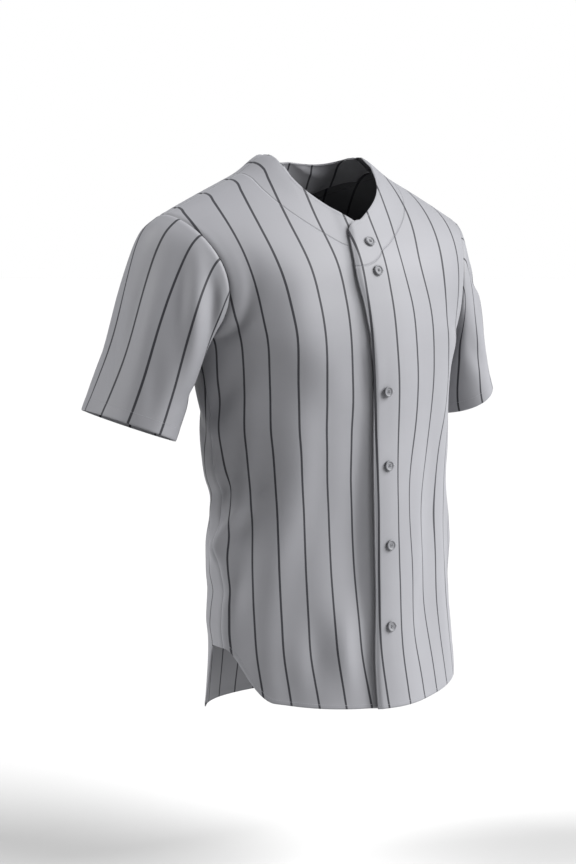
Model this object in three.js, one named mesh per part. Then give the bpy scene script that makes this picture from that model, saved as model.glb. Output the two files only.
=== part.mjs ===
// Button-front baseball jersey with short sleeves, filled out as if worn, with no wearer in it.
// Millimetres, +Z up, the front faces -Y and the wearer's left is +X. The origin is midway between
// the shoulders, 5 mm above the two points where the shoulder seams meet the neck.
//
// The body is a stack of rows. Each row runs from the centre line to the side seam or the armhole as
// part of a superellipse, and a level numbers the rows, in mm up the cloth from the lowest row.

import * as THREE from 'three';

// Cloth
const CLOTH = 1.5;              // wall of a single panel
const PLACKET_CLOTH = 3.0;      // the folded button band
const SEAM_GAP = 0.3;           // between two sewn pieces
const ARMHOLE_GAP = 0.4;        // the sleeve starts this far outside the body's edge

// Levels along the body
const ARMPIT_LEVEL = 540;
const V_LEVEL = 687;            // bottom of the V neck
const BACK_NECK_LEVEL = 737;
const SHOULDER_LEVEL = 760;

// Neck
const NECK_HALF_WIDTH = 84;
const NECK_BOW = 20;            // how far the V edge bows outwards between the V and the shoulder
const NECK_STAND = 10;          // the neck edge stands up at the shoulders
const NECK_STAND_REACH = 26;
const BACK_STAND_LEVELS = 60;   // the back's stand builds up over these levels under its neck edge

// Button band
const BAND_WIDTH = 24;          // each front passes the centre line by about this much
const BAND_CORNER = 14;         // rounded top corner of the band
const BAND_STAND = 6.5;         // how far the upper front stands off the lower one
const BAND_EDGE_DROP = 2.4;     // the rolled edge turns in by this much
const BAND_EDGE_ROLL = 7;       // width of that roll
const BAND_FADE = 80;           // the upper front is back on the body this far from the centre line
const BAND_THINNING = 8;        // the band's thickness runs out over this width
const BAND_SEAM_LEVELS = 20;    // the stand dies out over these levels under the shoulder seam
const SHADOW_TROUGH = 3;        // the lower front dips beside the band
const TROUGH_OFFSET = 16;       // from the band's edge to the middle of the dip
const TROUGH_WIDTH = 13;

// The folded edge of the band wanders: its distance from the centre line
const BAND_ROWS = [
  { level: 0, reach: 33 },
  { level: 60, reach: 30 },
  { level: 130, reach: 24 },
  { level: 300, reach: 24 },
  { level: 540, reach: 24 },
  { level: 580, reach: 29 },
  { level: 620, reach: 35 },
  { level: 650, reach: 32 },
  { level: 680, reach: 25 },
  { level: 760, reach: 24 },
];

// Hem: a tail in front and a squarer, longer one behind, with a vent between them at each side seam.
// Each hem bows up a little from the centre, then rises to the vent between two fractions of the
// half panel.
const VENT_LEVEL = 111;
const FRONT_HEM = { level: 24, bow: 14, riseStart: 0.62, riseEnd: 0.97 };
const BACK_HEM = { level: 11, bow: 0, riseStart: 0.66, riseEnd: 0.9 };

// The button band swings sideways towards the hem: +X offset of the centre line, faded to the side seam
const SWAY_ROWS = [
  { level: 0, sway: 10 },
  { level: 50, sway: 3 },
  { level: 100, sway: -3 },
  { level: 200, sway: -2 },
  { level: 300, sway: 0 },
];

// A row spans a quarter turn of its superellipse, and less where it ends at the armhole, in degrees
const ROW_TURN = 90;
const ARMHOLE_TURN_CUT = 26;    // taken off half way up the armhole
const SHOULDER_TURN_BACK = 4;   // given back at the shoulder

// A row falls towards its end as a power of the way across, the power changing from row to row
const BODY_FALL = 2;
const SHOULDER_FALL = 1.05;     // almost straight along the shoulder
const FALL_CHANGE_LEVEL = 640;

// Rows of the front: centre height, centre depth, side seam point, superellipse exponent
const FRONT_ROWS = [
  { level: 0, centreZ: -800, centreY: -195, sideX: 199, sideY: -79, sideZ: -800, roundness: 1.74 },
  { level: 100, centreZ: -700, centreY: -190, sideX: 199, sideY: -74, sideZ: -700, roundness: 1.66 },
  { level: 200, centreZ: -600, centreY: -184, sideX: 200, sideY: -64, sideZ: -600, roundness: 1.66 },
  { level: 300, centreZ: -500, centreY: -180, sideX: 201, sideY: -56, sideZ: -500, roundness: 1.68 },
  { level: 400, centreZ: -400, centreY: -174, sideX: 208, sideY: -48, sideZ: -400, roundness: 1.82 },
  { level: 500, centreZ: -298, centreY: -172, sideX: 214, sideY: -38, sideZ: -300, roundness: 2.08 },
  { level: 540, centreZ: -256, centreY: -168, sideX: 221, sideY: -32, sideZ: -264, roundness: 2.2 },
  { level: 590, centreZ: -204, centreY: -159, roundness: 2.25 },
  { level: 640, centreZ: -152, centreY: -144, roundness: 2.2 },
  { level: 690, centreZ: -98, centreY: -109, roundness: 2.1 },
  { level: 720, centreZ: -53, centreY: -77, roundness: 2.0 },
  { level: 740, centreZ: -16, centreY: -50, roundness: 2.0 },
  { level: 750, centreZ: 6, centreY: -33, roundness: 2.0 },
  { level: 755, centreZ: 15, centreY: -18, roundness: 2.0 },
  { level: 760, centreZ: 20, centreY: 0, roundness: 2.0 },
];

// Rows of the back share the side seam, so they give only the centre line and the exponent
const BACK_ROWS = [
  { level: 0, centreZ: -800, centreY: 76, roundness: 2.6 },
  { level: 100, centreZ: -700, centreY: 63, roundness: 2.4 },
  { level: 200, centreZ: -600, centreY: 64, roundness: 2.2 },
  { level: 300, centreZ: -500, centreY: 65, roundness: 2.1 },
  { level: 400, centreZ: -400, centreY: 72, roundness: 2.1 },
  { level: 500, centreZ: -298, centreY: 76, roundness: 2.1 },
  { level: 540, centreZ: -256, centreY: 79, roundness: 2.2 },
  { level: 590, centreZ: -204, centreY: 82, roundness: 2.2 },
  { level: 640, centreZ: -148, centreY: 82, roundness: 2.2 },
  { level: 690, centreZ: -90, centreY: 76, roundness: 2.1 },
  { level: 720, centreZ: -50, centreY: 65, roundness: 2.0 },
  { level: 740, centreZ: -17, centreY: 48, roundness: 2.0 },
  { level: 750, centreZ: 5, centreY: 30, roundness: 2.0 },
  { level: 755, centreZ: 15, centreY: 16, roundness: 2.0 },
  { level: 760, centreZ: 20, centreY: 0, roundness: 2.0 },
];

// Near the armpit's level the rows are averaged up and down the cloth, so that the corner between
// the side seam and the armhole doesn't crease the whole row: the reach of the average, how far up
// and down it is used, and the share of each step
const ARMPIT_SOFTENING = 20;
const SOFTENING_SPREAD = 45;
const SOFTENING_STEPS = [
  { step: -1, share: 0.125 },
  { step: -0.5, share: 0.25 },
  { step: 0, share: 0.25 },
  { step: 0.5, share: 0.25 },
  { step: 1, share: 0.125 },
];
const SOFTENING_SEAM_POWER = 8; // the average dies out towards the seam

// Armhole: an upright oval from the armpit to the shoulder point
const ARMHOLE = {
  armpit: { x: 221, y: -32, z: -264 },
  shoulder: { x: 251, y: -2, z: -92 },
  frontDepth: 80,
  backDepth: 66,
  frontScoop: 20,
  backScoop: 9,
};

// Sleeves: the cuff oval of each, its centre, half axes and lean
const SLEEVES = [
  { name: 'sleeve_left', side: 1, cuff: [286, 22, -358], out: 57, fore: 80, lean: 29, back: 9, cap: 44 },
  { name: 'sleeve_right', side: -1, cuff: [295, 24, -382], out: 61, fore: 86, lean: 20, back: 5, cap: 84 },
];
const SLEEVE_UNDER_PULL = 90;   // strength of the curve leaving the armhole at the armpit
const SLEEVE_CUFF_PULL = 200;
const LEAVE_AT_ARMPIT = { x: 0.6, z: -0.8 };
const LEAVE_AT_TOP = { x: 0.94, z: -0.42 };

// Folds: girth and level of the middle in mm, turn from level in degrees, half length, half width,
// height of the ridge, or depth of the trough where it is negative
const GIRTH = 255;              // a half panel's width, which turns a fraction into a girth
const FOLDS = {
  front_right: [
    { girth: 140, level: 450, turn: 0, length: 80, width: 62, height: -5 },
    { girth: 136, level: 240, turn: 108, length: 95, width: 24, height: 9 },
    { girth: 182, level: 296, turn: 112, length: 85, width: 24, height: -9 },
    { girth: 70, level: 165, turn: 95, length: 85, width: 22, height: -7 },
  ],
  front_left: [
    { girth: 165, level: 285, turn: 8, length: 70, width: 22, height: -5 },
    { girth: 140, level: 215, turn: -14, length: 80, width: 20, height: 3.5 },
    { girth: 200, level: 345, turn: -30, length: 60, width: 18, height: 3 },
    { girth: 215, level: 470, turn: -35, length: 55, width: 15, height: -3 },
  ],
  back_right: [
    { girth: 200, level: 318, turn: 4, length: 70, width: 16, height: -6 },
    { girth: 195, level: 258, turn: -6, length: 75, width: 20, height: 5 },
    { girth: 205, level: 196, turn: 5, length: 60, width: 15, height: -4 },
    { girth: 80, level: 300, turn: 12, length: 90, width: 18, height: -4 },
  ],
  back_left: [
    { girth: 190, level: 300, turn: -8, length: 75, width: 18, height: -5 },
    { girth: 185, level: 240, turn: 7, length: 70, width: 20, height: 4.5 },
    { girth: 70, level: 345, turn: -15, length: 80, width: 17, height: 3.5 },
  ],
};
const FOLD_SEAM_FADE = 26;      // folds die out before a side seam
const FOLD_TOP_LEVELS = 60;     // and over these levels above the armpit

// Buttons: four-hole discs on the centre line, the first two close together under the V
const BUTTON_LEVELS = [659, 622, 463, 361, 251, 138];
const BUTTON_RADIUS = 7.4;
const BUTTON_THICKNESS = 3;
const BUTTON_RIM = 1.5;
const BUTTON_DISH = 0.9;
const BUTTON_CLEARANCE = 0.5;
const BUTTON_BEVEL = 0.8;
const BUTTON_TILT_SPAN = 5;     // levels above and below that give the button its tilt

// Fineness of the grids
const FRONT_BAND_COLUMNS = 4;
const NECK_COLUMNS = 6;
const SHOULDER_COLUMNS = 13;
const LOWER_ROWS = 18;          // from the hem to the armpit
const UPPER_ROWS = 14;          // from the armpit to the neck and shoulder
const BODY_ROWS = LOWER_ROWS + UPPER_ROWS;
const SLEEVE_ROWS = 9;
const FACING_ROWS = 3;          // rows of the back that the neck facing covers
const FACING_SHOULDER_COLUMNS = 3;
const BUTTON_SEGMENTS = 16;

const clothMaterial = () =>
  new THREE.MeshStandardMaterial({ color: 0xa9a9b0, roughness: 0.72, side: THREE.DoubleSide });
const buttonMaterial = () => new THREE.MeshStandardMaterial({ color: 0xa3a3a9, roughness: 0.42 });

const clamp01 = (value) => Math.min(Math.max(value, 0), 1);
const smooth = (t) => clamp01(t) ** 2 * (3 - 2 * clamp01(t));

// A cubic through one column of a table, with three-point slopes
function column(rows, key, level) {
  const known = rows.filter((row) => row[key] !== undefined);
  const last = known.length - 1;
  const at = Math.min(Math.max(level, known[0].level), known[last].level);
  let k = 0;
  while (k < last - 1 && at >= known[k + 1].level) k += 1;
  const step = (i) => known[i + 1].level - known[i].level;
  const rise = (i) => (known[i + 1][key] - known[i][key]) / step(i);
  const slope = (i) => {
    if (i === 0) return rise(0);
    if (i === last) return rise(last - 1);
    return (rise(i - 1) * step(i) + rise(i) * step(i - 1)) / (step(i - 1) + step(i));
  };
  const t = (at - known[k].level) / step(k);
  const run = step(k);
  return (
    (2 * t ** 3 - 3 * t ** 2 + 1) * known[k][key] +
    (t ** 3 - 2 * t ** 2 + t) * run * slope(k) +
    (3 * t ** 2 - 2 * t ** 3) * known[k + 1][key] +
    (t ** 3 - t ** 2) * run * slope(k + 1)
  );
}

// The armhole edge at a level, on the front (-1) or the back (1)
function armhole(level, face) {
  const turn = Math.PI * clamp01((level - ARMPIT_LEVEL) / (SHOULDER_LEVEL - ARMPIT_LEVEL));
  const climb = (1 - Math.cos(turn)) / 2;
  const { armpit, shoulder } = ARMHOLE;
  const depth = face < 0 ? ARMHOLE.frontDepth : ARMHOLE.backDepth;
  const scoop = face < 0 ? ARMHOLE.frontScoop : ARMHOLE.backScoop;
  return new THREE.Vector3(
    armpit.x + (shoulder.x - armpit.x) * climb ** 1.6 - scoop * Math.sin(turn) ** 2,
    armpit.y + (shoulder.y - armpit.y) * climb + face * depth * Math.sin(turn),
    armpit.z + (shoulder.z - armpit.z) * climb,
  );
}

// Half width of the neck opening at a level
function neckHalfWidth(level, face) {
  if (face < 0) {
    const t = clamp01((level - V_LEVEL) / (SHOULDER_LEVEL - V_LEVEL));
    return NECK_HALF_WIDTH * t ** 0.85 + NECK_BOW * Math.sin(Math.PI * t) ** 1.3;
  }
  const t = clamp01((level - BACK_NECK_LEVEL) / (SHOULDER_LEVEL - BACK_NECK_LEVEL));
  return NECK_HALF_WIDTH * Math.sqrt(1 - (1 - t) ** 2);
}

// A point of the body: the fraction runs from 0 on the centre line to 1 at the side seam or armhole
function bodyPoint(face, level, fraction) {
  const rows = face < 0 ? FRONT_ROWS : BACK_ROWS;
  const centreY = column(rows, 'centreY', level);
  const centreZ = column(rows, 'centreZ', level);
  const roundness = column(rows, 'roundness', level);
  const side =
    level >= ARMPIT_LEVEL
      ? armhole(level, face)
      : new THREE.Vector3(
          column(FRONT_ROWS, 'sideX', level),
          column(FRONT_ROWS, 'sideY', level),
          column(FRONT_ROWS, 'sideZ', level),
        );
  const climb = clamp01((level - ARMPIT_LEVEL) / (SHOULDER_LEVEL - ARMPIT_LEVEL));
  const cut = ARMHOLE_TURN_CUT * Math.sin((Math.PI / 2) * Math.min(climb * 2, 1)) ** 0.9;
  const turn = ROW_TURN - cut + SHOULDER_TURN_BACK * clamp01(climb * 2 - 1);
  const change = clamp01((level - FALL_CHANGE_LEVEL) / (SHOULDER_LEVEL - FALL_CHANGE_LEVEL)) ** 1.3;
  const fall = BODY_FALL + (SHOULDER_FALL - BODY_FALL) * change;
  const end = THREE.MathUtils.degToRad(Math.min(turn, ROW_TURN - 0.01));
  const angle = Math.abs(fraction) * end;
  const across = (Math.sin(angle) / Math.sin(end)) ** (2 / roundness);
  const inward = (1 - Math.cos(angle) ** (2 / roundness)) / (1 - Math.cos(end) ** (2 / roundness));
  const x = side.x * across;
  const fromNeck = Math.max(x - neckHalfWidth(level, face), 0);
  const standing =
    face < 0
      ? clamp01((level - V_LEVEL) / (SHOULDER_LEVEL - V_LEVEL)) ** 1.2
      : clamp01((level - BACK_NECK_LEVEL) / BACK_STAND_LEVELS + 1);
  const stand = NECK_STAND * standing * Math.exp(-((fromNeck / NECK_STAND_REACH) ** 2));
  return new THREE.Vector3(
    Math.sign(fraction || 1) * x,
    centreY + (side.y - centreY) * inward,
    centreZ + (side.z - centreZ) * across ** fall + stand,
  );
}

// A point of the body after the average near the armpit's level
function softPoint(face, level, fraction) {
  const reach =
    ARMPIT_SOFTENING *
    Math.exp(-(((level - ARMPIT_LEVEL) / SOFTENING_SPREAD) ** 2)) *
    (1 - Math.abs(fraction) ** SOFTENING_SEAM_POWER);
  const sum = new THREE.Vector3();
  for (const { step, share } of SOFTENING_STEPS) {
    sum.addScaledVector(bodyPoint(face, level + step * reach, fraction), share);
  }
  return sum;
}

// The value in [low, high] where a rising function passes zero
function solve(rising, low, high) {
  let a = low;
  let b = high;
  for (let i = 0; i < 40; i += 1) {
    const middle = (a + b) / 2;
    if (rising(middle) > 0) b = middle;
    else a = middle;
  }
  return (a + b) / 2;
}

const fractionAtX = (face, level, x) => solve((f) => bodyPoint(face, level, f).x - x, 0, 1);

const NECK_POINT_FRACTION = fractionAtX(-1, SHOULDER_LEVEL, NECK_HALF_WIDTH);

// The level where a column of the body ends, at the neck edge or the shoulder seam
function topLevel(face, place) {
  if (place >= NECK_POINT_FRACTION) return SHOULDER_LEVEL;
  const lowest = face < 0 ? V_LEVEL : BACK_NECK_LEVEL;
  if (place <= 0) return lowest - BAND_CORNER * (1 - Math.sqrt(1 - place ** 2));
  return solve(
    (level) => neckHalfWidth(level, face) - bodyPoint(face, level, place).x,
    lowest,
    SHOULDER_LEVEL,
  );
}

// The level of the hem, from the centre line to the vent
function hemLevel(face, place) {
  const { level, bow, riseStart, riseEnd } = face < 0 ? FRONT_HEM : BACK_HEM;
  const bowed = level + bow * clamp01(place / riseStart) ** 2;
  return bowed + (VENT_LEVEL - bowed) * smooth((place - riseStart) / (riseEnd - riseStart));
}

// The sum of the folds at a girth and a level
function foldHeight(folds, girth, level) {
  const nearSeam = clamp01((GIRTH - girth) / FOLD_SEAM_FADE);
  const fade = nearSeam * clamp01((ARMPIT_LEVEL - level) / FOLD_TOP_LEVELS + 1);
  return folds.reduce((sum, fold) => {
    const turn = THREE.MathUtils.degToRad(fold.turn);
    const along = (girth - fold.girth) * Math.cos(turn) + (level - fold.level) * Math.sin(turn);
    const across = (level - fold.level) * Math.cos(turn) - (girth - fold.girth) * Math.sin(turn);
    const bell = Math.exp(-((along / fold.length) ** 2) - (across / fold.width) ** 2);
    return sum + fade * fold.height * bell;
  }, 0);
}

const bandReach = (level) => column(BAND_ROWS, 'reach', level);

// How far the upper front stands off the body at a distance from the centre line
function bandStand(x, level) {
  const onBand = 1 - smooth((x - BAND_WIDTH / 2) / BAND_FADE);
  const rolled = smooth((-x - bandReach(level)) / BAND_EDGE_ROLL + 1);
  return BAND_STAND * onBand - BAND_EDGE_DROP * rolled;
}

// How deep the lower front dips beside the band
function bandDip(x, level) {
  const fromMiddle = x - bandReach(level) - TROUGH_OFFSET;
  return -SHADOW_TROUGH * Math.exp(-((fromMiddle / TROUGH_WIDTH) ** 2));
}

// Unit normals of a grid of points, from the neighbours in both directions
function gridNormals(grid, wraps, outward) {
  const rows = grid.length;
  const columns = grid[0].length;
  return grid.map((row, i) =>
    row.map((point, j) => {
      const before = wraps ? row[(j - 1 + columns) % columns] : row[Math.max(j - 1, 0)];
      const after = wraps ? row[(j + 1) % columns] : row[Math.min(j + 1, columns - 1)];
      const below = grid[Math.max(i - 1, 0)][j];
      const above = grid[Math.min(i + 1, rows - 1)][j];
      const across = after.clone().sub(before);
      const up = above.clone().sub(below);
      return across.cross(up).normalize().multiplyScalar(outward);
    }),
  );
}

// Points moved along their normals by a distance that may vary over the grid
const moved = (grid, normals, distance) =>
  grid.map((row, i) =>
    row.map((point, j) => {
      const length = typeof distance === 'function' ? distance(i, j) : distance;
      return point.clone().addScaledVector(normals[i][j], length);
    }),
  );

// A closed wall between an outer and an inner grid
function wallGeometry(outer, inner, wraps) {
  const rows = outer.length;
  const columns = outer[0].length;
  const points = [...outer.flat(), ...inner.flat()];
  const layer = rows * columns;
  const at = (side, i, j) => side * layer + i * columns + (j % columns);
  const faces = [];
  const quad = (a, b, c, d) => faces.push(a, b, c, a, c, d);
  const lastColumn = wraps ? columns : columns - 1;
  for (let i = 0; i < rows - 1; i += 1) {
    for (let j = 0; j < lastColumn; j += 1) {
      quad(at(0, i, j), at(0, i, j + 1), at(0, i + 1, j + 1), at(0, i + 1, j));
      quad(at(1, i, j), at(1, i + 1, j), at(1, i + 1, j + 1), at(1, i, j + 1));
    }
  }
  for (let j = 0; j < lastColumn; j += 1) {
    quad(at(0, 0, j), at(1, 0, j), at(1, 0, j + 1), at(0, 0, j + 1));
    quad(at(0, rows - 1, j), at(0, rows - 1, j + 1), at(1, rows - 1, j + 1), at(1, rows - 1, j));
  }
  if (!wraps) {
    for (let i = 0; i < rows - 1; i += 1) {
      quad(at(0, i, 0), at(0, i + 1, 0), at(1, i + 1, 0), at(1, i, 0));
      const j = columns - 1;
      quad(at(0, i, j), at(1, i, j), at(1, i + 1, j), at(0, i + 1, j));
    }
  }
  if (signedVolume(points, faces) < 0) {
    for (let k = 0; k < faces.length; k += 3) [faces[k], faces[k + 1]] = [faces[k + 1], faces[k]];
  }
  const geometry = new THREE.BufferGeometry().setFromPoints(points);
  geometry.setIndex(faces);
  geometry.computeVertexNormals();
  return geometry;
}

function signedVolume(points, faces) {
  const cross = new THREE.Vector3();
  let volume = 0;
  for (let k = 0; k < faces.length; k += 3) {
    cross.crossVectors(points[faces[k + 1]], points[faces[k + 2]]);
    volume += points[faces[k]].dot(cross) / 6;
  }
  return volume;
}

const mirrored = (grid) =>
  grid.map((row) => row.map((point) => new THREE.Vector3(-point.x, point.y, point.z)));

// Places across a half panel, from the neck's centre to the side: fractions of the row
const HALF_PLACES = [
  ...Array.from({ length: NECK_COLUMNS }, (_, k) => (NECK_POINT_FRACTION * k) / NECK_COLUMNS),
  ...Array.from(
    { length: SHOULDER_COLUMNS + 1 },
    (_, k) => NECK_POINT_FRACTION + ((1 - NECK_POINT_FRACTION) * k) / SHOULDER_COLUMNS,
  ),
];

// The level of a row in a column that runs from one level to another, with one row at the armpit
function rowLevel(i, low, high) {
  if (i <= LOWER_ROWS) return low + ((ARMPIT_LEVEL - low) * i) / LOWER_ROWS;
  return ARMPIT_LEVEL + ((high - ARMPIT_LEVEL) * (i - LOWER_ROWS)) / UPPER_ROWS;
}

const swayAt = (level) => column(SWAY_ROWS, 'sway', level);

// A half panel's grid, its rows from the hem to the neck and shoulder. The hand is 1 for the left
// front, -1 for the right front, which is mirrored later, and 0 for a panel that doesn't sway.
function halfPanel(face, places, hand) {
  const levels = Array.from({ length: BODY_ROWS + 1 }, (_, i) =>
    places.map((place) => rowLevel(i, hemLevel(face, place), topLevel(face, place))),
  );
  const fractions = levels.map((row) =>
    row.map((level, j) =>
      places[j] < 0 ? -fractionAtX(face, level, -places[j] * bandReach(level)) : places[j],
    ),
  );
  const straight = levels.map((row, i) => row.map((level, j) => softPoint(face, level, fractions[i][j])));
  const grid = straight.map((row, i) =>
    row.map((point, j) => {
      const sway = hand * swayAt(levels[i][j]) * (1 - Math.abs(fractions[i][j]));
      return new THREE.Vector3(point.x + sway, point.y, point.z);
    }),
  );
  return { grid, levels, fromCentre: straight.map((row) => row.map((point) => point.x)) };
}

// The seam edges are pulled in by half the gap between two pieces
function trimSeams(grid, firstColumn) {
  const pull = (edge, inside) => {
    const way = inside.clone().sub(edge).normalize();
    edge.addScaledVector(way, SEAM_GAP / 2);
  };
  const last = grid[0].length - 1;
  grid.forEach((row) => {
    pull(row[last], row[last - 1]);
    if (firstColumn) pull(row[0], row[1]);
  });
  const top = grid.length - 1;
  grid[top].forEach((point, j) => pull(point, grid[top - 1][j]));
}

const HALF_LAST = HALF_PLACES.length - 1;
const frontHalf = halfPanel(-1, HALF_PLACES, 0);
const backHalf = halfPanel(1, HALF_PLACES, 0);
const frontHalfNormals = gridNormals(frontHalf.grid, false, 1);
const backHalfNormals = gridNormals(backHalf.grid, false, -1);

// One normal for both panels where they are sewn together
const sharedNormal = (i, j) => frontHalfNormals[i][j].clone().add(backHalfNormals[i][j]).normalize();

function shareSeamNormals(normals, columnOf, mirror) {
  const flip = new THREE.Vector3(mirror, 1, 1);
  for (let i = 0; i <= BODY_ROWS; i += 1) {
    normals[i][columnOf(HALF_LAST)] = sharedNormal(i, HALF_LAST).multiply(flip);
  }
  for (let j = NECK_COLUMNS; j <= HALF_LAST; j += 1) {
    normals[BODY_ROWS][columnOf(j)] = sharedNormal(BODY_ROWS, j).multiply(flip);
  }
}

// One front. The left one laps over the right one at the centre line.
function frontPanel(name, over) {
  const bandPlaces = Array.from({ length: FRONT_BAND_COLUMNS }, (_, k) => -1 + k / FRONT_BAND_COLUMNS);
  const places = [...bandPlaces, ...HALF_PLACES];
  const { grid, levels, fromCentre } = halfPanel(-1, places, over ? 1 : -1);
  const normals = gridNormals(grid, false, 1);
  const columnOf = (j) => j + FRONT_BAND_COLUMNS;
  shareSeamNormals(normals, columnOf, 1);
  const rise = (i, j) => {
    const x = fromCentre[i][j];
    const fold = foldHeight(FOLDS[name], Math.max(places[j], 0) * GIRTH, levels[i][j]);
    const nearSeam = clamp01((SHOULDER_LEVEL - levels[i][j]) / BAND_SEAM_LEVELS);
    return fold + (over ? bandStand(x, levels[i][j]) : bandDip(x, levels[i][j])) * nearSeam;
  };
  const outer = moved(grid, normals, rise);
  const outerNormals = gridNormals(outer, false, 1);
  shareSeamNormals(outerNormals, columnOf, 1);
  trimSeams(outer, false);
  const wall = (i, j) => {
    const band = over ? 1 - smooth((fromCentre[i][j] - BAND_WIDTH) / BAND_THINNING) : 0;
    return -(CLOTH + (PLACKET_CLOTH - CLOTH) * band);
  };
  const inner = moved(outer, outerNormals, wall);
  return over ? wallGeometry(outer, inner, false) : wallGeometry(mirrored(outer), mirrored(inner), false);
}

// The back's outer points and their normals, from the right side seam to the left one
function backPanel() {
  const places = [...HALF_PLACES.slice(1).reverse().map((place) => -place), ...HALF_PLACES];
  const half = backHalf;
  const pick = (source, j) => source[Math.abs(j - HALF_LAST)];
  const flip = (j) => new THREE.Vector3(j < HALF_LAST ? -1 : 1, 1, 1);
  const grid = half.grid.map((row) => places.map((_, j) => pick(row, j).clone().multiply(flip(j))));
  const normals = gridNormals(grid, false, -1);
  const leftColumn = (j) => HALF_LAST + j;
  const rightColumn = (j) => HALF_LAST - j;
  shareSeamNormals(normals, leftColumn, 1);
  shareSeamNormals(normals, rightColumn, -1);
  const rise = (i, j) => {
    const folds = j < HALF_LAST ? FOLDS.back_right : FOLDS.back_left;
    return foldHeight(folds, Math.abs(places[j]) * GIRTH, pick(half.levels[i], j));
  };
  const outer = moved(grid, normals, rise);
  const outerNormals = gridNormals(outer, false, -1);
  shareSeamNormals(outerNormals, leftColumn, 1);
  shareSeamNormals(outerNormals, rightColumn, -1);
  trimSeams(outer, true);
  return { outer, normals: outerNormals };
}

// A sleeve: rings between the armhole edge and the cuff, with the shoulder's slope at the top.
// Its columns start at the points where the body's rows end.
function sleeve({ side, cuff, out, fore, lean, back, cap }) {
  const tilt = THREE.MathUtils.degToRad(lean);
  const sweep = THREE.MathUtils.degToRad(back);
  const down = new THREE.Vector3(Math.sin(tilt), Math.sin(sweep), -Math.cos(tilt)).normalize();
  const outwards = new THREE.Vector3(Math.cos(tilt), 0, Math.sin(tilt));
  outwards.addScaledVector(down, -outwards.dot(down)).normalize();
  const forwards = new THREE.Vector3().crossVectors(down, outwards);
  if (forwards.y > 0) forwards.negate();
  const centre = new THREE.Vector3(...cuff);
  const point = (s, turn) => {
    const level = ARMPIT_LEVEL + (SHOULDER_LEVEL - ARMPIT_LEVEL) * (1 - Math.abs(turn) / Math.PI);
    const start = armhole(level, turn >= 0 ? -1 : 1);
    start.x += ARMHOLE_GAP;
    const end = centre
      .clone()
      .addScaledVector(outwards, out * Math.cos(turn))
      .addScaledVector(forwards, fore * Math.sin(turn));
    const top = (1 + Math.cos(turn)) / 2;
    const leave = new THREE.Vector3(
      THREE.MathUtils.lerp(LEAVE_AT_ARMPIT.x, LEAVE_AT_TOP.x, top),
      0,
      THREE.MathUtils.lerp(LEAVE_AT_ARMPIT.z, LEAVE_AT_TOP.z, top),
    ).normalize();
    return start
      .multiplyScalar(2 * s ** 3 - 3 * s ** 2 + 1)
      .addScaledVector(leave, (s ** 3 - 2 * s ** 2 + s) * (SLEEVE_UNDER_PULL + cap * top))
      .addScaledVector(end, 3 * s ** 2 - 2 * s ** 3)
      .addScaledVector(down, (s ** 3 - s ** 2) * SLEEVE_CUFF_PULL);
  };
  const outer = Array.from({ length: SLEEVE_ROWS + 1 }, (_, i) =>
    Array.from({ length: 2 * UPPER_ROWS }, (_unused, j) =>
      point(i / SLEEVE_ROWS, Math.PI * (1 - j / UPPER_ROWS)),
    ),
  );
  const inner = moved(outer, gridNormals(outer, true, -1), -CLOTH);
  return side > 0 ? wallGeometry(outer, inner, true) : wallGeometry(mirrored(outer), mirrored(inner), true);
}

// The facing inside the back of the neck, made from the back's own points moved inwards
function neckFacing({ outer, normals }) {
  const middle = HALF_LAST;
  const reach = NECK_COLUMNS + FACING_SHOULDER_COLUMNS;
  const part = (source) =>
    source.slice(-FACING_ROWS - 1).map((row) => row.slice(middle - reach, middle + reach + 1));
  const sheet = part(outer);
  const sheetNormals = part(normals);
  const outside = moved(sheet, sheetNormals, -(CLOTH + SEAM_GAP));
  return wallGeometry(outside, moved(sheet, sheetNormals, -(2 * CLOTH + SEAM_GAP)), false);
}

// A button: a turned disc with a raised rim and a dished middle
function buttonGeometry() {
  const rim = BUTTON_RADIUS - BUTTON_RIM;
  const profile = [
    [0, 0],
    [BUTTON_RADIUS - BUTTON_BEVEL, 0],
    [BUTTON_RADIUS, BUTTON_BEVEL],
    [BUTTON_RADIUS, BUTTON_THICKNESS - BUTTON_BEVEL],
    [BUTTON_RADIUS - BUTTON_BEVEL, BUTTON_THICKNESS],
    [rim, BUTTON_THICKNESS],
    [rim - BUTTON_BEVEL, BUTTON_THICKNESS - BUTTON_DISH],
    [0, BUTTON_THICKNESS - BUTTON_DISH],
  ];
  const points = profile.map(([radius, height]) => new THREE.Vector2(radius, height));
  return new THREE.LatheGeometry(points, BUTTON_SEGMENTS);
}

function buttonMesh(index, level) {
  const here = bodyPoint(-1, level, 0);
  const above = bodyPoint(-1, level + BUTTON_TILT_SPAN, 0);
  const below = bodyPoint(-1, level - BUTTON_TILT_SPAN, 0);
  const up = above.sub(below).normalize();
  const outward = new THREE.Vector3(1, 0, 0).cross(up).normalize();
  const mesh = new THREE.Mesh(buttonGeometry(), buttonMaterial());
  mesh.name = `button_${index + 1}`;
  mesh.position.copy(here).addScaledVector(outward, BAND_STAND + BUTTON_CLEARANCE);
  mesh.position.x += swayAt(level);
  mesh.quaternion.setFromUnitVectors(new THREE.Vector3(0, 1, 0), outward);
  return mesh;
}

function clothMesh(name, geometry) {
  const mesh = new THREE.Mesh(geometry, clothMaterial());
  mesh.name = name;
  return mesh;
}

const jersey = new THREE.Group();
jersey.add(clothMesh('front_left', frontPanel('front_left', true)));
jersey.add(clothMesh('front_right', frontPanel('front_right', false)));
const back = backPanel();
jersey.add(clothMesh('back', wallGeometry(back.outer, moved(back.outer, back.normals, -CLOTH), false)));
for (const shape of SLEEVES) jersey.add(clothMesh(shape.name, sleeve(shape)));
jersey.add(clothMesh('neck_facing', neckFacing(back)));
BUTTON_LEVELS.forEach((level, index) => jersey.add(buttonMesh(index, level)));

export default jersey;
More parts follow.
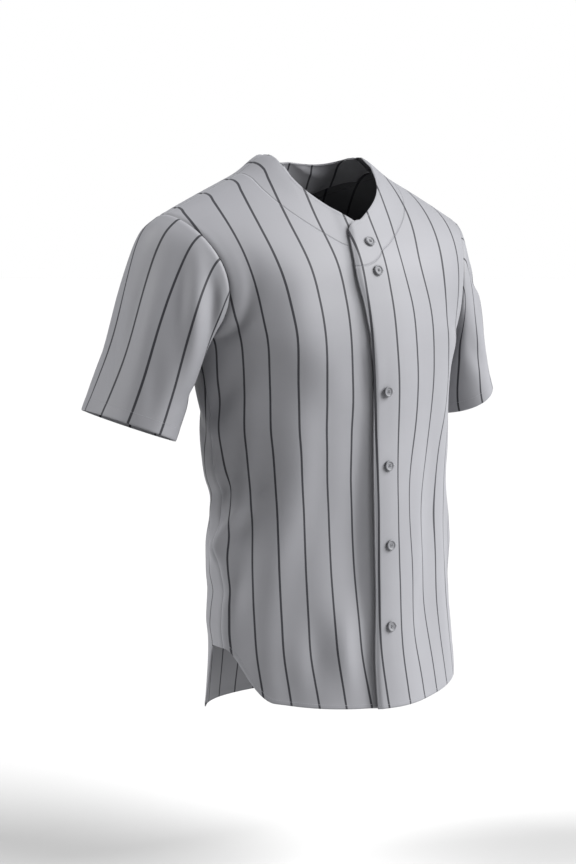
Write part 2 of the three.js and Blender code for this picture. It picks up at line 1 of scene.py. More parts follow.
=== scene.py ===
"""Looks of a button-front baseball jersey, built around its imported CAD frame.

The shape classes work in millimetres, in the frame of the part's source: +Z up, the front faces
-Y and the wearer's left is +X. A mesh is turned into metres when it is made. Every piece is a
surface worked out on a grid of two parameters with numpy.
"""

import logging
import math
from collections.abc import Callable
from dataclasses import dataclass, field
from enum import Enum

import bpy
import numpy as np
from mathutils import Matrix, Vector

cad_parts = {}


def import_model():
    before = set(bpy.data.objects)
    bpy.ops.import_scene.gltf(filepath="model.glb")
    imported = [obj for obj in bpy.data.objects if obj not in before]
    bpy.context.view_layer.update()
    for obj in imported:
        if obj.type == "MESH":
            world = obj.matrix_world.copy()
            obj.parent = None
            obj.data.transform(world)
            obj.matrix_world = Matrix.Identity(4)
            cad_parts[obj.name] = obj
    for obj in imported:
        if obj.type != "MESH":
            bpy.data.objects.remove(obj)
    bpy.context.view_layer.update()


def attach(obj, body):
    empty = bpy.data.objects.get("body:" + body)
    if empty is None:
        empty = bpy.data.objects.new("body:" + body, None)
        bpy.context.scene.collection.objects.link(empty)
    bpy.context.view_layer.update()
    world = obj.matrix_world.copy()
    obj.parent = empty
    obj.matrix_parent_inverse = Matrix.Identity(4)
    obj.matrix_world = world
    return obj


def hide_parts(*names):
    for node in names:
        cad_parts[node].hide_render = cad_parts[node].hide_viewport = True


LOG = logging.getLogger("jersey")

MM = 0.001
STRIPE_PITCH = 38.0
ABOVE_ALL_LEVELS = 2000.0
FAR_FROM_NECK = 500.0

Array = np.ndarray
Mesh = tuple[Array, Array]
Colour = tuple[float, ...]


class Face(Enum):
    """Front or back of the body, with the sign of its depth."""

    FRONT = -1
    BACK = 1


class Hand(Enum):
    """Wearer's left or right, with the sign of its X."""

    LEFT = 1
    RIGHT = -1


def smooth(t: Array) -> Array:
    """Smoothstep of t held between 0 and 1: 3t^2 - 2t^3."""
    t = np.clip(t, 0.0, 1.0)
    return t * t * (3.0 - 2.0 * t)


def bell(distance: Array, width: float) -> Array:
    """Gaussian bump of height 1: exp(-(distance / width)^2)."""
    return np.exp(-((distance / width) ** 2))


def share_between(value: Array, low: float, high: float) -> Array:
    """How far a value has come from low to high, held between 0 and 1."""
    return np.clip((value - low) / (high - low), 0, 1)


def unit(vectors: Array) -> Array:
    """Vectors divided by their lengths, along the last axis."""
    return vectors / np.maximum(np.linalg.norm(vectors, axis=-1, keepdims=True), 1e-12)


def solve(rising: Callable[[Array], Array], low: Array, high: Array) -> Array:
    """Finds where a rising function passes zero, by halving, for a whole array at once.

    Args:
        rising: function from an array of positions to an array of values.
        low: lowest positions.
        high: highest positions.

    Returns:
        The positions of the zeros.
    """
    low, high = np.array(low, float), np.array(high, float)
    for _ in range(36):
        middle = (low + high) / 2
        above = rising(middle) > 0
        low, high = np.where(above, low, middle), np.where(above, middle, high)
    return (low + high) / 2


def graded(length: float, step: float, fine: float, start: bool = True, end: bool = True) -> Array:
    """Stations from 0 to 1 along a length, closer together towards the ends that are asked for.

    The spacing grows from the fine one by a quarter at each station until it reaches the step.

    Args:
        length: length in mm.
        step: widest spacing in mm.
        fine: spacing in mm at a graded end.
        start: whether the start is graded.
        end: whether the end is graded.

    Returns:
        Rising stations, the first 0 and the last 1.
    """
    growing = fine * 1.25 ** np.arange(64)
    growing = growing[growing < step]
    head = growing if start else np.empty(0)
    tail = growing[::-1] if end else np.empty(0)
    middle = max(length - head.sum() - tail.sum(), step)
    count = max(int(round(middle / step)), 1)
    spacing = np.concatenate([head, np.full(count, middle / count), tail])
    stations = np.concatenate([[0.0], np.cumsum(spacing)])
    return stations / stations[-1]


@dataclass(frozen=True)
class Row:
    """One row of the body: centre line and, below the armpit, the side seam, in mm."""

    level: float
    centre_z: float
    centre_y: float
    roundness: float
    side_x: float | None = None
    side_y: float | None = None
    side_z: float | None = None


@dataclass(frozen=True)
class Curve:
    """A cubic through values at known levels, with three-point slopes."""

    levels: tuple[float, ...]
    values: tuple[float, ...]

    @staticmethod
    def through(rows: tuple[Row, ...], name: str) -> "Curve":
        """The curve of one column of a table, through the rows that have it."""
        known = [(row.level, getattr(row, name)) for row in rows if getattr(row, name) is not None]
        return Curve(tuple(k[0] for k in known), tuple(k[1] for k in known))

    def at(self, level: Array) -> Array:
        """The value at each level: a Hermite cubic between the two nearest rows.

        Args:
            level: levels, of any shape.

        Returns:
            Values of the same shape.
        """
        x, y = np.array(self.levels, float), np.array(self.values, float)
        step, rise = np.diff(x), np.diff(y) / np.diff(x)
        inner = (rise[:-1] * step[1:] + rise[1:] * step[:-1]) / (step[:-1] + step[1:])
        slope = np.concatenate([[rise[0]], inner, [rise[-1]]])
        level = np.clip(np.asarray(level, float), x[0], x[-1])
        k = np.clip(np.searchsorted(x, level, side="right") - 1, 0, len(step) - 1)
        t, run = (level - x[k]) / step[k], step[k]
        return (
            (2 * t**3 - 3 * t**2 + 1) * y[k]
            + (t**3 - 2 * t**2 + t) * run * slope[k]
            + (3 * t**2 - 2 * t**3) * y[k + 1]
            + (t**3 - t**2) * run * slope[k + 1]
        )


FRONT_ROWS = (
    Row(0, -800, -195, 1.74, 199, -79, -800),
    Row(100, -700, -190, 1.66, 199, -74, -700),
    Row(200, -600, -184, 1.66, 200, -64, -600),
    Row(300, -500, -180, 1.68, 201, -56, -500),
    Row(400, -400, -174, 1.82, 208, -48, -400),
    Row(500, -298, -172, 2.08, 214, -38, -300),
    Row(540, -256, -168, 2.2, 221, -32, -264),
    Row(590, -204, -159, 2.25),
    Row(640, -152, -144, 2.2),
    Row(690, -98, -109, 2.1),
    Row(720, -53, -77, 2.0),
    Row(740, -16, -50, 2.0),
    Row(750, 6, -33, 2.0),
    Row(755, 15, -18, 2.0),
    Row(760, 20, 0, 2.0),
)

BACK_ROWS = (
    Row(0, -800, 76, 2.6),
    Row(100, -700, 63, 2.4),
    Row(200, -600, 64, 2.2),
    Row(300, -500, 65, 2.1),
    Row(400, -400, 72, 2.1),
    Row(500, -298, 76, 2.1),
    Row(540, -256, 79, 2.2),
    Row(590, -204, 82, 2.2),
    Row(640, -148, 82, 2.2),
    Row(690, -90, 76, 2.1),
    Row(720, -50, 65, 2.0),
    Row(740, -17, 48, 2.0),
    Row(750, 5, 30, 2.0),
    Row(755, 15, 16, 2.0),
    Row(760, 20, 0, 2.0),
)


@dataclass(frozen=True)
class Hem:
    """Hem of one face: its lowest level, how it bows up, and where it rises to the vent."""

    level: float
    bow: float
    rise_start: float
    rise_end: float


@dataclass(frozen=True)
class BodyForm:
    """The jersey's body as rows of superellipses, with its neck, armholes and hem.

    A level numbers the rows in mm up the cloth. A fraction runs along a row from 0 on the centre
    line to 1 at the side seam, or at the armhole above the armpit.
    """

    armpit_level: float = 540.0
    v_level: float = 687.0
    back_neck_level: float = 737.0
    shoulder_level: float = 760.0
    vent_level: float = 111.0
    front_hem: Hem = Hem(24.0, 14.0, 0.62, 0.97)
    back_hem: Hem = Hem(11.0, 0.0, 0.66, 0.9)
    neck_half_width: float = 84.0
    neck_bow: float = 20.0
    neck_stand: float = 10.0
    neck_stand_reach: float = 26.0
    back_stand_levels: float = 60.0
    row_turn: float = 90.0
    armhole_turn_cut: float = 26.0
    shoulder_turn_back: float = 4.0
    body_fall: float = 2.0
    shoulder_fall: float = 1.05
    fall_change_level: float = 640.0
    armpit: tuple[float, float, float] = (221.0, -32.0, -264.0)
    shoulder: tuple[float, float, float] = (251.0, -2.0, -92.0)
    front_depth: float = 80.0
    back_depth: float = 66.0
    front_scoop: float = 20.0
    back_scoop: float = 9.0
    band_width: float = 24.0
    band_reach: Curve = Curve(
        (0, 60, 130, 300, 540, 580, 620, 650, 680, 760), (33, 30, 24, 24, 24, 29, 35, 32, 25, 24)
    )
    band_corner: float = 14.0
    softening: float = 20.0
    softening_spread: float = 45.0
    softening_seam_power: int = 8
    sway: Curve = Curve((0, 50, 100, 200, 300), (10, 3, -3, -2, 0))

    def rows(self, face: Face) -> tuple[Row, ...]:
        """The table of one face."""
        return FRONT_ROWS if face is Face.FRONT else BACK_ROWS

    def armhole(self, level: Array, face: Face) -> Array:
        """The armhole edge: an upright oval, climbing as a cosine from the armpit to the shoulder.

        Args:
            level: levels of the rows that end there.
            face: front or back half of the oval.

        Returns:
            Points, with the coordinates on the last axis.
        """
        turn = math.pi * share_between(level, self.armpit_level, self.shoulder_level)
        climb = (1 - np.cos(turn)) / 2
        is_front = face is Face.FRONT
        depth = self.front_depth if is_front else self.back_depth
        scoop = self.front_scoop if is_front else self.back_scoop
        (ax, ay, az), (sx, sy, sz) = self.armpit, self.shoulder
        x = ax + (sx - ax) * climb**1.6 - scoop * np.sin(turn) ** 2
        y = ay + (sy - ay) * climb + face.value * depth * np.sin(turn)
        return np.stack([x, y, az + (sz - az) * climb], axis=-1)

    def neck_half(self, level: Array, face: Face) -> Array:
        """Half width of the neck: a bowed V in front, a quarter ellipse behind."""
        if face is Face.FRONT:
            t = share_between(level, self.v_level, self.shoulder_level)
            return self.neck_half_width * t**0.85 + self.neck_bow * np.sin(math.pi * t) ** 1.3
        t = share_between(level, self.back_neck_level, self.shoulder_level)
        return self.neck_half_width * np.sqrt(1 - (1 - t) ** 2)

    def point(self, face: Face, level: Array, fraction: Array) -> Array:
        """Points of the body: each row is part of a superellipse from the centre line to its end.

        Across, the row goes as sin(a)^(2/n); inwards, as 1 - cos(a)^(2/n); it falls as a power of
        the way across. The neck edge stands up as a bell round the neck.

        Args:
            face: front or back.
            level: levels, of any shape.
            fraction: fractions along the row, of the same shape.

        Returns:
            Points, with the coordinates on the last axis.
        """
        level, fraction = np.broadcast_arrays(np.asarray(level, float), np.asarray(fraction, float))
        rows = self.rows(face)
        centre_y = Curve.through(rows, "centre_y").at(level)
        centre_z = Curve.through(rows, "centre_z").at(level)
        power = 2 / Curve.through(rows, "roundness").at(level)
        seam = np.stack(
            [Curve.through(FRONT_ROWS, name).at(level) for name in ("side_x", "side_y", "side_z")],
            axis=-1,
        )
        above = (level >= self.armpit_level)[..., None]
        side = np.where(above, self.armhole(level, face), seam)
        climb = share_between(level, self.armpit_level, self.shoulder_level)
        cut = self.armhole_turn_cut * np.sin(math.pi / 2 * np.minimum(climb * 2, 1)) ** 0.9
        back_again = self.shoulder_turn_back * np.clip(climb * 2 - 1, 0, 1)
        end = np.radians(np.minimum(self.row_turn - cut + back_again, self.row_turn - 0.01))
        change = share_between(level, self.fall_change_level, self.shoulder_level)
        fall = self.body_fall + (self.shoulder_fall - self.body_fall) * change**1.3
        angle = np.abs(fraction) * end
        across = (np.sin(angle) / np.sin(end)) ** power
        inward = (1 - np.cos(angle) ** power) / (1 - np.cos(end) ** power)
        x = side[..., 0] * across
        from_neck = np.maximum(x - self.neck_half(level, face), 0)
        if face is Face.FRONT:
            standing = share_between(level, self.v_level, self.shoulder_level) ** 1.2
        else:
            standing = np.clip((level - self.back_neck_level) / self.back_stand_levels + 1, 0, 1)
        stand = self.neck_stand * standing * bell(from_neck, self.neck_stand_reach)
        return np.stack(
            [
                np.where(fraction < 0, -x, x),
                centre_y + (side[..., 1] - centre_y) * inward,
                centre_z + (side[..., 2] - centre_z) * across**fall + stand,
            ],
            axis=-1,
        )

    def softened(
        self, rule: Callable[[Array, Array], Array], level: Array, fraction: Array
    ) -> Array:
        """A rule's values averaged up and down the cloth near the armpit's level.

        The side seam meets the armhole in a corner there, and the average keeps that corner from
        creasing the whole row. The reach of the average is a bell of the level, and it dies out
        towards the seam as 1 - fraction^8.

        Args:
            rule: function of a level and a fraction, such as the points or the girth.
            level: levels, of any shape.
            fraction: fractions along the row, of the same shape.

        Returns:
            What the rule returns, averaged.
        """
        reach = self.softening * bell(level - self.armpit_level, self.softening_spread)
        reach = reach * (1 - np.abs(fraction) ** self.softening_seam_power)
        steps = ((-1.0, 0.125), (-0.5, 0.25), (0.0, 0.25), (0.5, 0.25), (1.0, 0.125))
        return sum(weight * rule(level + step * reach, fraction) for step, weight in steps)

    def fraction_at(self, face: Face, level: Array, x: Array) -> Array:
        """The fraction where a row is at a distance x from the centre line."""
        level, x = np.broadcast_arrays(np.asarray(level, float), np.asarray(x, float))
        return solve(
            lambda f: self.point(face, level, f)[..., 0] - x, np.zeros(x.shape), np.ones(x.shape)
        )

    def neck_fraction(self) -> float:
        """The fraction of the point where neck and shoulder seam meet."""
        return float(self.fraction_at(Face.FRONT, self.shoulder_level, self.neck_half_width))

    def top_level(self, face: Face, place: Array) -> Array:
        """The level where each column ends, at the neck edge or the shoulder seam.

        Args:
            face: front or back.
            place: fraction of each column, or -1 to 0 across the button band.

        Returns:
            Levels, one for each column.
        """
        lowest = self.v_level if face is Face.FRONT else self.back_neck_level
        inside = np.clip(place, 0, None)
        crossing = solve(
            lambda level: self.neck_half(level, face) - self.point(face, level, inside)[..., 0],
            np.full(place.shape, lowest),
            np.full(place.shape, self.shoulder_level),
        )
        corner = lowest - self.band_corner * (1 - np.sqrt(1 - np.clip(place, -1, 0) ** 2))
        level = np.where(place <= 0, corner, crossing)
        return np.where(place >= self.neck_fraction(), self.shoulder_level, level)

    def hem_level(self, face: Face, place: Array) -> Array:
        """The hem's level at each column: it bows up as a square, then rises as a smoothstep."""
        hem = self.front_hem if face is Face.FRONT else self.back_hem
        bowed = hem.level + hem.bow * np.clip(place / hem.rise_start, 0, 1) ** 2
        rise = smooth((place - hem.rise_start) / (hem.rise_end - hem.rise_start))
        return bowed + (self.vent_level - bowed) * rise

    def girth(self, face: Face, level: Array, fraction: Array, steps: int = 28) -> Array:
        """Length of cloth along a row from the centre line, as the sum of short chords.

        Args:
            face: front or back.
            level: levels, of any shape.
            fraction: fractions along the row, of the same shape.
            steps: how many chords.

        Returns:
            Lengths in mm, negative where the fraction is.
        """
        share = np.linspace(0, 1, steps + 1)
        level, fraction = np.broadcast_arrays(np.asarray(level, float), np.asarray(fraction, float))
        line = self.point(face, level[..., None], np.abs(fraction)[..., None] * share)
        length = np.linalg.norm(np.diff(line, axis=-2), axis=-1).sum(axis=-1)
        return np.where(fraction < 0, -length, length)


@dataclass(frozen=True)
class Fold:
    """One soft crease: a ridge, or a trough where the height is negative, in mm and degrees.

    around is measured round the body from the centre front through the wearer's left side, 255 mm
    to each seam. turn 0 runs along a row and 90 up the cloth. bend bows it sideways at its ends.
    """

    around: float
    level: float
    turn: float
    length: float
    width: float
    height: float
    bend: float = 0.0


@dataclass(frozen=True)
class FoldSet:
    """Creases that add up to a height over the cloth."""

    folds: tuple[Fold, ...]
    circumference: float = 1020.0

    def height(self, around: Array, level: Array) -> Array:
        """The sum of the folds: each one a Gaussian along and across its own bent line.

        Args:
            around: positions round the body or the sleeve, in mm.
            level: positions up the cloth, in mm.

        Returns:
            Heights in mm.
        """
        total = np.zeros(np.broadcast(around, level).shape)
        half = self.circumference / 2
        for fold in self.folds:
            turn = math.radians(fold.turn)
            beside = (around - fold.around + half) % self.circumference - half
            up = level - fold.level
            along = beside * math.cos(turn) + up * math.sin(turn)
            across = up * math.cos(turn) - beside * math.sin(turn)
            across = across - fold.bend * (along / fold.length) ** 2
            total = total + fold.height * bell(along, fold.length) * bell(across, fold.width)
        return total


BODY_FOLDS = FoldSet(
    (
        # right front, around 765 to 1020
        Fold(912, 566, 114, 80, 36, 7.0),
        Fold(890, 466, 16, 62, 46, -9.0),
        Fold(984, 476, 90, 80, 44, -3.5),
        Fold(908, 402, 83, 76, 28, 5.0),
        Fold(868, 236, 77, 92, 25, 9.5, -5),
        Fold(850, 112, 88, 60, 24, 4.5),
        Fold(840, 300, 70, 85, 22, -6.0, 8),
        Fold(796, 334, 61, 62, 18, -9.0, 5),
        Fold(790, 276, 40, 58, 14, 9.0, -5),
        Fold(806, 186, 66, 60, 18, -5.0),
        Fold(780, 140, 78, 55, 18, 4.5),
        Fold(928, 352, 82, 70, 18, -2.5),
        Fold(917, 104, 88, 48, 16, -5.0, 3),
        Fold(951, 102, 90, 50, 14, 4.5, -3),
        Fold(878, 60, 96, 45, 16, -2.5),
        Fold(800, 455, 40, 60, 20, -4.5, 6),
        Fold(806, 588, 78, 66, 24, -6.0),
        # right side and right back
        Fold(752, 322, 8, 60, 18, -7.0, 4),
        Fold(745, 252, -6, 70, 24, 6.0, -4),
        Fold(748, 188, 5, 62, 17, -4.6, 3),
        Fold(735, 138, -8, 55, 18, 3.0),
        Fold(690, 300, -58, 95, 22, -7.1, 8),
        Fold(650, 260, -64, 100, 20, 5.8, -6),
        Fold(600, 330, -74, 110, 22, -5.4, 5),
        Fold(700, 440, -42, 80, 20, -5.1, 6),
        Fold(660, 500, -36, 80, 24, 4.4, -5),
        Fold(560, 200, 84, 90, 20, 4.8, -5),
        Fold(585, 120, 80, 70, 18, -4.4),
        Fold(520, 390, 88, 110, 26, -4.4, 6),
        # left side and left back
        Fold(270, 300, -8, 60, 18, -5.5, 4),
        Fold(272, 236, 7, 66, 22, 5.0, -4),
        Fold(268, 176, -5, 58, 17, -4.0, 3),
        Fold(330, 285, 60, 95, 21, -6.8, 8),
        Fold(372, 250, 66, 95, 20, 5.4, -6),
        Fold(425, 320, 76, 110, 22, -5.1, 5),
        Fold(322, 450, 44, 78, 20, -4.8, 6),
        Fold(366, 505, 38, 80, 24, 4.1, -5),
        Fold(455, 170, 96, 90, 20, 4.4, -5),
        Fold(432, 100, 98, 66, 18, -4.1),
        Fold(752, 170, 90, 100, 40, 4.0),
        # left front, around 0 to 255
        Fold(200, 470, 90, 75, 48, -8.0),
        Fold(60, 300, 90, 150, 20, 2.4),
        Fold(96, 285, 88, 130, 22, -5.0, 5),
        Fold(150, 300, 92, 140, 26, -1.5, -6),
        Fold(205, 305, -56, 60, 18, -4.2, 6),
        Fold(222, 240, -50, 60, 18, 3.8, -4),
        Fold(178, 190, -72, 70, 18, -3.0, 4),
        Fold(130, 130, -80, 70, 18, 2.4),
        Fold(200, 465, -40, 60, 18, -3.2, 6),
        Fold(170, 510, -34, 66, 22, 2.4, -5),
        Fold(66, 150, 82, 55, 14, -2.2),
    )
)


def lengths_along(points: Array, axis: int) -> Array:
    """Running length along one axis of a grid of points, from 0.

    Args:
        points: grid of points, with the coordinates on the last axis.
        axis: 0 along columns or 1 along rows.

    Returns:
        Lengths, one for each point.
    """
    chord = np.linalg.norm(np.diff(points, axis=axis), axis=-1)
    pad = [(0, 0), (0, 0)]
    pad[axis] = (1, 0)
    return np.pad(np.cumsum(chord, axis=axis), pad)


def grid_normals(points: Array, outward: float, wraps: bool = False) -> Array:
    """Unit normals of a grid: the cross product of the ways across and up, from the neighbours."""
    if wraps:
        across = np.roll(points, -1, axis=1) - np.roll(points, 1, axis=1)
    else:
        across = np.gradient(points, axis=1)
    return unit(np.cross(across, np.gradient(points, axis=0))) * outward


def distance_to_line(points: Array, line: Array) -> Array:
    """Shortest distance from each point of a grid to a line of short segments.

    Each point is dropped onto each segment, and the nearest foot is kept, one grid row at a time.

    Args:
        points: grid of points.
        line: points along the line.

    Returns:
        Distances, one for each grid point.
    """
    start, way = line[:-1], np.diff(line, axis=0)
    length = np.maximum((way**2).sum(axis=-1), 1e-9)

    def of_row(row: Array) -> Array:
        """The distances of one row of the grid."""
        offset = row[:, None, :] - start[None]
        t = np.clip((offset * way).sum(axis=-1) / length, 0, 1)
        return np.linalg.norm(offset - t[..., None] * way, axis=-1).min(axis=1)

    return np.stack([of_row(row) for row in points])


@dataclass
class Sheet:
    """A piece of cloth on a grid: its outer points, with what its finish and stitches need."""

    outer: Array
    normals: Array
    thickness: Array
    uv: Array
    wraps: bool = False
    distances: dict[str, Array] = field(default_factory=dict)
    # Painted shade: the inner layer darkens from this level upwards over the next span, in place of
    # the shade inside the body.
    painted_shade_from: float = 420.0
    painted_shade_over: float = 240.0

    def inner(self) -> Array:
        """The inner points: the outer ones moved in by the thickness."""
        return self.outer - self.normals * self.thickness[..., None]

    def mirrored(self) -> "Sheet":
        """The same sheet on the other side of the centre plane."""
        flip = np.array([-1.0, 1.0, 1.0])
        return Sheet(
            self.outer * flip,
            self.normals * flip,
            self.thickness,
            self.uv,
            self.wraps,
            self.distances,
        )


def wall_faces(rows: int, columns: int, wraps: bool) -> tuple[Array, Array]:
    """Quads of a closed wall between an outer and an inner grid, facing out of a front panel.

    Args:
        rows: grid rows.
        columns: grid columns.
        wraps: whether the last column joins the first one.

    Returns:
        The vertex numbers of each quad, and the number of each corner in a grid of texture points
        that has one more column where the wall wraps.
    """
    cells = columns if wraps else columns - 1
    wide = columns + 1 if wraps else columns

    def corners(layer: int, i: Array, j: Array) -> Mesh:
        """Vertex and texture numbers of grid places on the outer or the inner layer."""
        return layer * rows * columns + i * columns + j % columns, i * wide + j

    def quads(*places: tuple[int, Array, Array]) -> Mesh:
        """Quads through four grid places."""
        found = [corners(layer, np.broadcast_to(i, j.shape), j) for layer, i, j in places]
        return (
            np.stack([f[0].ravel() for f in found], axis=-1),
            np.stack([f[1].ravel() for f in found], axis=-1),
        )

    i, j = np.meshgrid(np.arange(rows - 1), np.arange(cells), indexing="ij")
    line = np.arange(cells)
    first, last = 0 * line, rows - 1 + 0 * line
    parts = [
        quads((0, i, j), (0, i, j + 1), (0, i + 1, j + 1), (0, i + 1, j)),
        quads((1, i, j), (1, i + 1, j), (1, i + 1, j + 1), (1, i, j + 1)),
        quads((0, first, line), (1, first, line), (1, first, line + 1), (0, first, line + 1)),
        quads((0, last, line), (0, last, line + 1), (1, last, line + 1), (1, last, line)),
    ]
    if not wraps:
        up = np.arange(rows - 1)
        end = columns - 1 + 0 * up
        parts += [
            quads((0, up, 0 * up), (0, up + 1, 0 * up), (1, up + 1, 0 * up), (1, up, 0 * up)),
            quads((0, up, end), (1, up, end), (1, up + 1, end), (0, up + 1, end)),
        ]
    return np.concatenate([p[0] for p in parts]), np.concatenate([p[1] for p in parts])


def ring_quads(rows: int, columns: int, closed: bool = False, flip: bool = False) -> Array:
    """Quads of a grid whose last column meets its first one, as on a tube.

    Args:
        rows: grid rows.
        columns: grid columns.
        closed: whether the last row meets the first one too.
        flip: whether the faces point the other way.

    Returns:
        The vertex numbers of each quad.
    """
    i, j = np.meshgrid(np.arange(rows if closed else rows - 1), np.arange(columns), indexing="ij")
    here, ahead = i * columns, (i + 1) % rows * columns
    after = (j + 1) % columns
    corners = [here + j, here + after, ahead + after, ahead + j]
    if flip:
        corners = corners[:1] + corners[:0:-1]
    return np.stack(corners, axis=-1).reshape(-1, 4)


def signed_volume(points: Array, quads: Array) -> float:
    """Volume inside closed quads: a sixth of the triple product of each triangle, summed."""
    a, b, c, d = (points[quads[:, k]] for k in range(4))
    return float(((np.cross(b, c) + np.cross(c, d)) * a).sum() / 6)


def make_object(
    name: str, points: Array, quads: Array, material: bpy.types.Material
) -> bpy.types.Object:
    """A smooth mesh object at the origin, from points in mm.

    Args:
        name: name of the piece.
        points: vertices in mm.
        quads: vertex numbers of each face.
        material: finish of the piece.

    Returns:
        The object, linked to the scene.
    """
    mesh = bpy.data.meshes.new(name)
    mesh.from_pydata((points * MM).tolist(), [], quads.tolist())
    mesh.polygons.foreach_set("use_smooth", np.ones(len(mesh.polygons), bool))
    mesh.materials.append(material)
    mesh.update()
    piece = bpy.data.objects.new(name, mesh)
    bpy.context.scene.collection.objects.link(piece)
    return piece


def wall_object(name: str, sheet: Sheet, material: bpy.types.Material) -> bpy.types.Object:
    """A closed wall of cloth from a sheet, with its texture map, distances and painted shade as
    attributes.

    Args:
        name: name of the piece.
        sheet: the cloth.
        material: finish of the cloth.

    Returns:
        The object.
    """
    rows, columns = sheet.outer.shape[:2]
    points = np.concatenate([sheet.outer.reshape(-1, 3), sheet.inner().reshape(-1, 3)])
    quads, corners = wall_faces(rows, columns, sheet.wraps)
    if signed_volume(points, quads) < 0:
        quads, corners = quads[:, ::-1], corners[:, ::-1]
    piece = make_object(name, points, quads, material)
    layer = piece.data.uv_layers.new(name="cloth")
    texture = (sheet.uv.reshape(-1, 2) * MM)[corners.ravel()]
    layer.data.foreach_set("uv", texture.astype(np.float32).ravel())
    for key, values in sheet.distances.items():
        add_values(piece, key, np.concatenate([values.ravel(), values.ravel()]) * MM)
    # Painted shade on the inner layer only, growing as a smoothstep up the cloth; the outer layer
    # gets none.
    inside = smooth((sheet.uv[:, :columns, 1] - sheet.painted_shade_from) / sheet.painted_shade_over)
    add_values(piece, "painted_shade_mask", np.concatenate([0 * inside.ravel(), inside.ravel()]))
    return piece


def add_values(piece: bpy.types.Object, name: str, values: Array) -> None:
    """Stores a value at each vertex, for the material."""
    attribute = piece.data.attributes.new(name, "FLOAT", "POINT")
    attribute.data.foreach_set("value", values.astype(np.float32))


@dataclass(frozen=True)
class Stripes:
    """Where the pinstripes of a piece lie: the phase of one stripe and how the cloth carries them.

    The cloth's own width is the girth divided by a factor of the level, because the rows above the
    chest cross the stripes at a slant. The grain drifts sideways from level to level, more at the
    side than in front, and wanders in patches where a fold takes up cloth.
    """

    phase: float
    drift: Curve = Curve((0, 760), (0, 0))
    side_drift: Curve = Curve((0, 760), (0, 0))
    patches: FoldSet = FoldSet(())
    gather: Curve = Curve(
        (0, 100, 380, 420, 470, 540, 600, 690, 760),
        (1.0, 1.0, 1.0, 1.05, 1.09, 1.10, 1.14, 1.20, 1.27),
    )
    side_start: float = 150.0
    side_width: float = 80.0

    def across(self, girth: Array, level: Array) -> Array:
        """Distance across the stripes from one of them.

        It is the girth over the factor, less the phase, plus the drifts: the side's one grows as a
        smoothstep of the girth.

        Args:
            girth: distance from the centre line along the row, in mm.
            level: level of the row.

        Returns:
            Distances in mm.
        """
        sideways = smooth((np.abs(girth) - self.side_start) / self.side_width)
        drift = self.drift.at(level) + self.side_drift.at(level) * sideways
        drift = drift + self.patches.height(girth, level)
        return girth / self.gather.at(level) - self.phase + drift


RIGHT_STRIPES = Stripes(
    13.0,
    drift=Curve(
        (0, 35, 100, 150, 180, 230, 290, 340, 400, 455, 540, 600, 670, 690, 760),
        (14, 12.5, 8, 5.5, 3, -1, -4, -4, 1, 6, 5, 3, -2, -3, 0),
    ),
    side_drift=Curve(
        (0, 100, 180, 290, 360, 455, 540, 600, 670, 760), (4, 2, 0, 0, 1, 6, 8, 9, 10, 0)
    ),
    patches=FoldSet((Fold(245, 288, 90, 34, 24, 12),)),
)

LEFT_STRIPES = Stripes(
    19.0,
    drift=Curve((0, 35, 150, 300, 450, 540, 600, 680, 760), (-4, -3, -1, 0, -2, 0, 2, 3, 0)),
    patches=FoldSet(
        (
            Fold(50, 305, 90, 80, 26, 20),
            Fold(54, 160, 90, 70, 22, 11),
            Fold(92, 285, 90, 60, 26, 19),
            Fold(96, 170, 90, 60, 24, 13),
            Fold(140, 150, 90, 70, 30, 15),
            Fold(60, 640, 90, 45, 34, 11),
            Fold(112, 640, 90, 45, 34, 11),
            Fold(158, 450, 90, 60, 28, -14),
        )
    ),
)


@dataclass(frozen=True)
class TurnedHem:
    """A hem turned once and sewn down: a raised strip, a rounded edge and a sewn dip."""

    width: float
    rise: float = 0.35
    second_layer: float = 0.5
    slope: float = 2.0
    edge: float = 0.7
    dip: float = 0.4
    reach: float = 0.9
    sewn_inside: float = 1.4

    @property
    def sewing_line(self) -> float:
        """Distance of the sewing line from the hem's edge."""
        return self.width - self.sewn_inside

    def relief(self, to_hem: Array) -> Array:
        """The strip's rise, less a bell on the edge and another along the sewing line."""
        strip = 1 - smooth((to_hem - self.width + self.slope / 2) / self.slope)
        edge = self.edge * bell(to_hem, self.reach)
        sewn = self.dip * bell(to_hem - self.sewing_line, self.reach)
        return self.rise * strip - edge - sewn

    def extra_cloth(self, to_hem: Array) -> Array:
        """The second layer's thickness, which ends as a smoothstep past the strip."""
        return self.second_layer * (1 - smooth((to_hem - self.width) / self.slope))


@dataclass(frozen=True)
class SeamRelief:
    """How the cloth sinks along a seam and swells beside it."""

    ditch: float = 0.9
    ditch_width: float = 1.8
    puff: float = 0.35
    puff_place: float = 6.12
    puff_width: float = 3.5

    def relief(self, to_seam: Array) -> Array:
        """A bell beside the seam, less a bell along it."""
        sunk = self.ditch * bell(to_seam, self.ditch_width)
        return self.puff * bell(to_seam - self.puff_place, self.puff_width) - sunk


@dataclass(frozen=True)
class FacingCut:
    """The facing inside the back of the neck."""

    shoulder_reach: float = 33.0
    stripe_shift: float = -2.0
    gap: float = 0.3
    cloth: float = 0.9
    rows: int = 36
    hem: TurnedHem = TurnedHem(5.0)
    lower_edge: Curve = Curve(
        (0, 30, 56, 83, 101, 120, 150), (-64.0, -62.0, -56.0, -45.0, -39.0, -38.0, -38.0)
    )


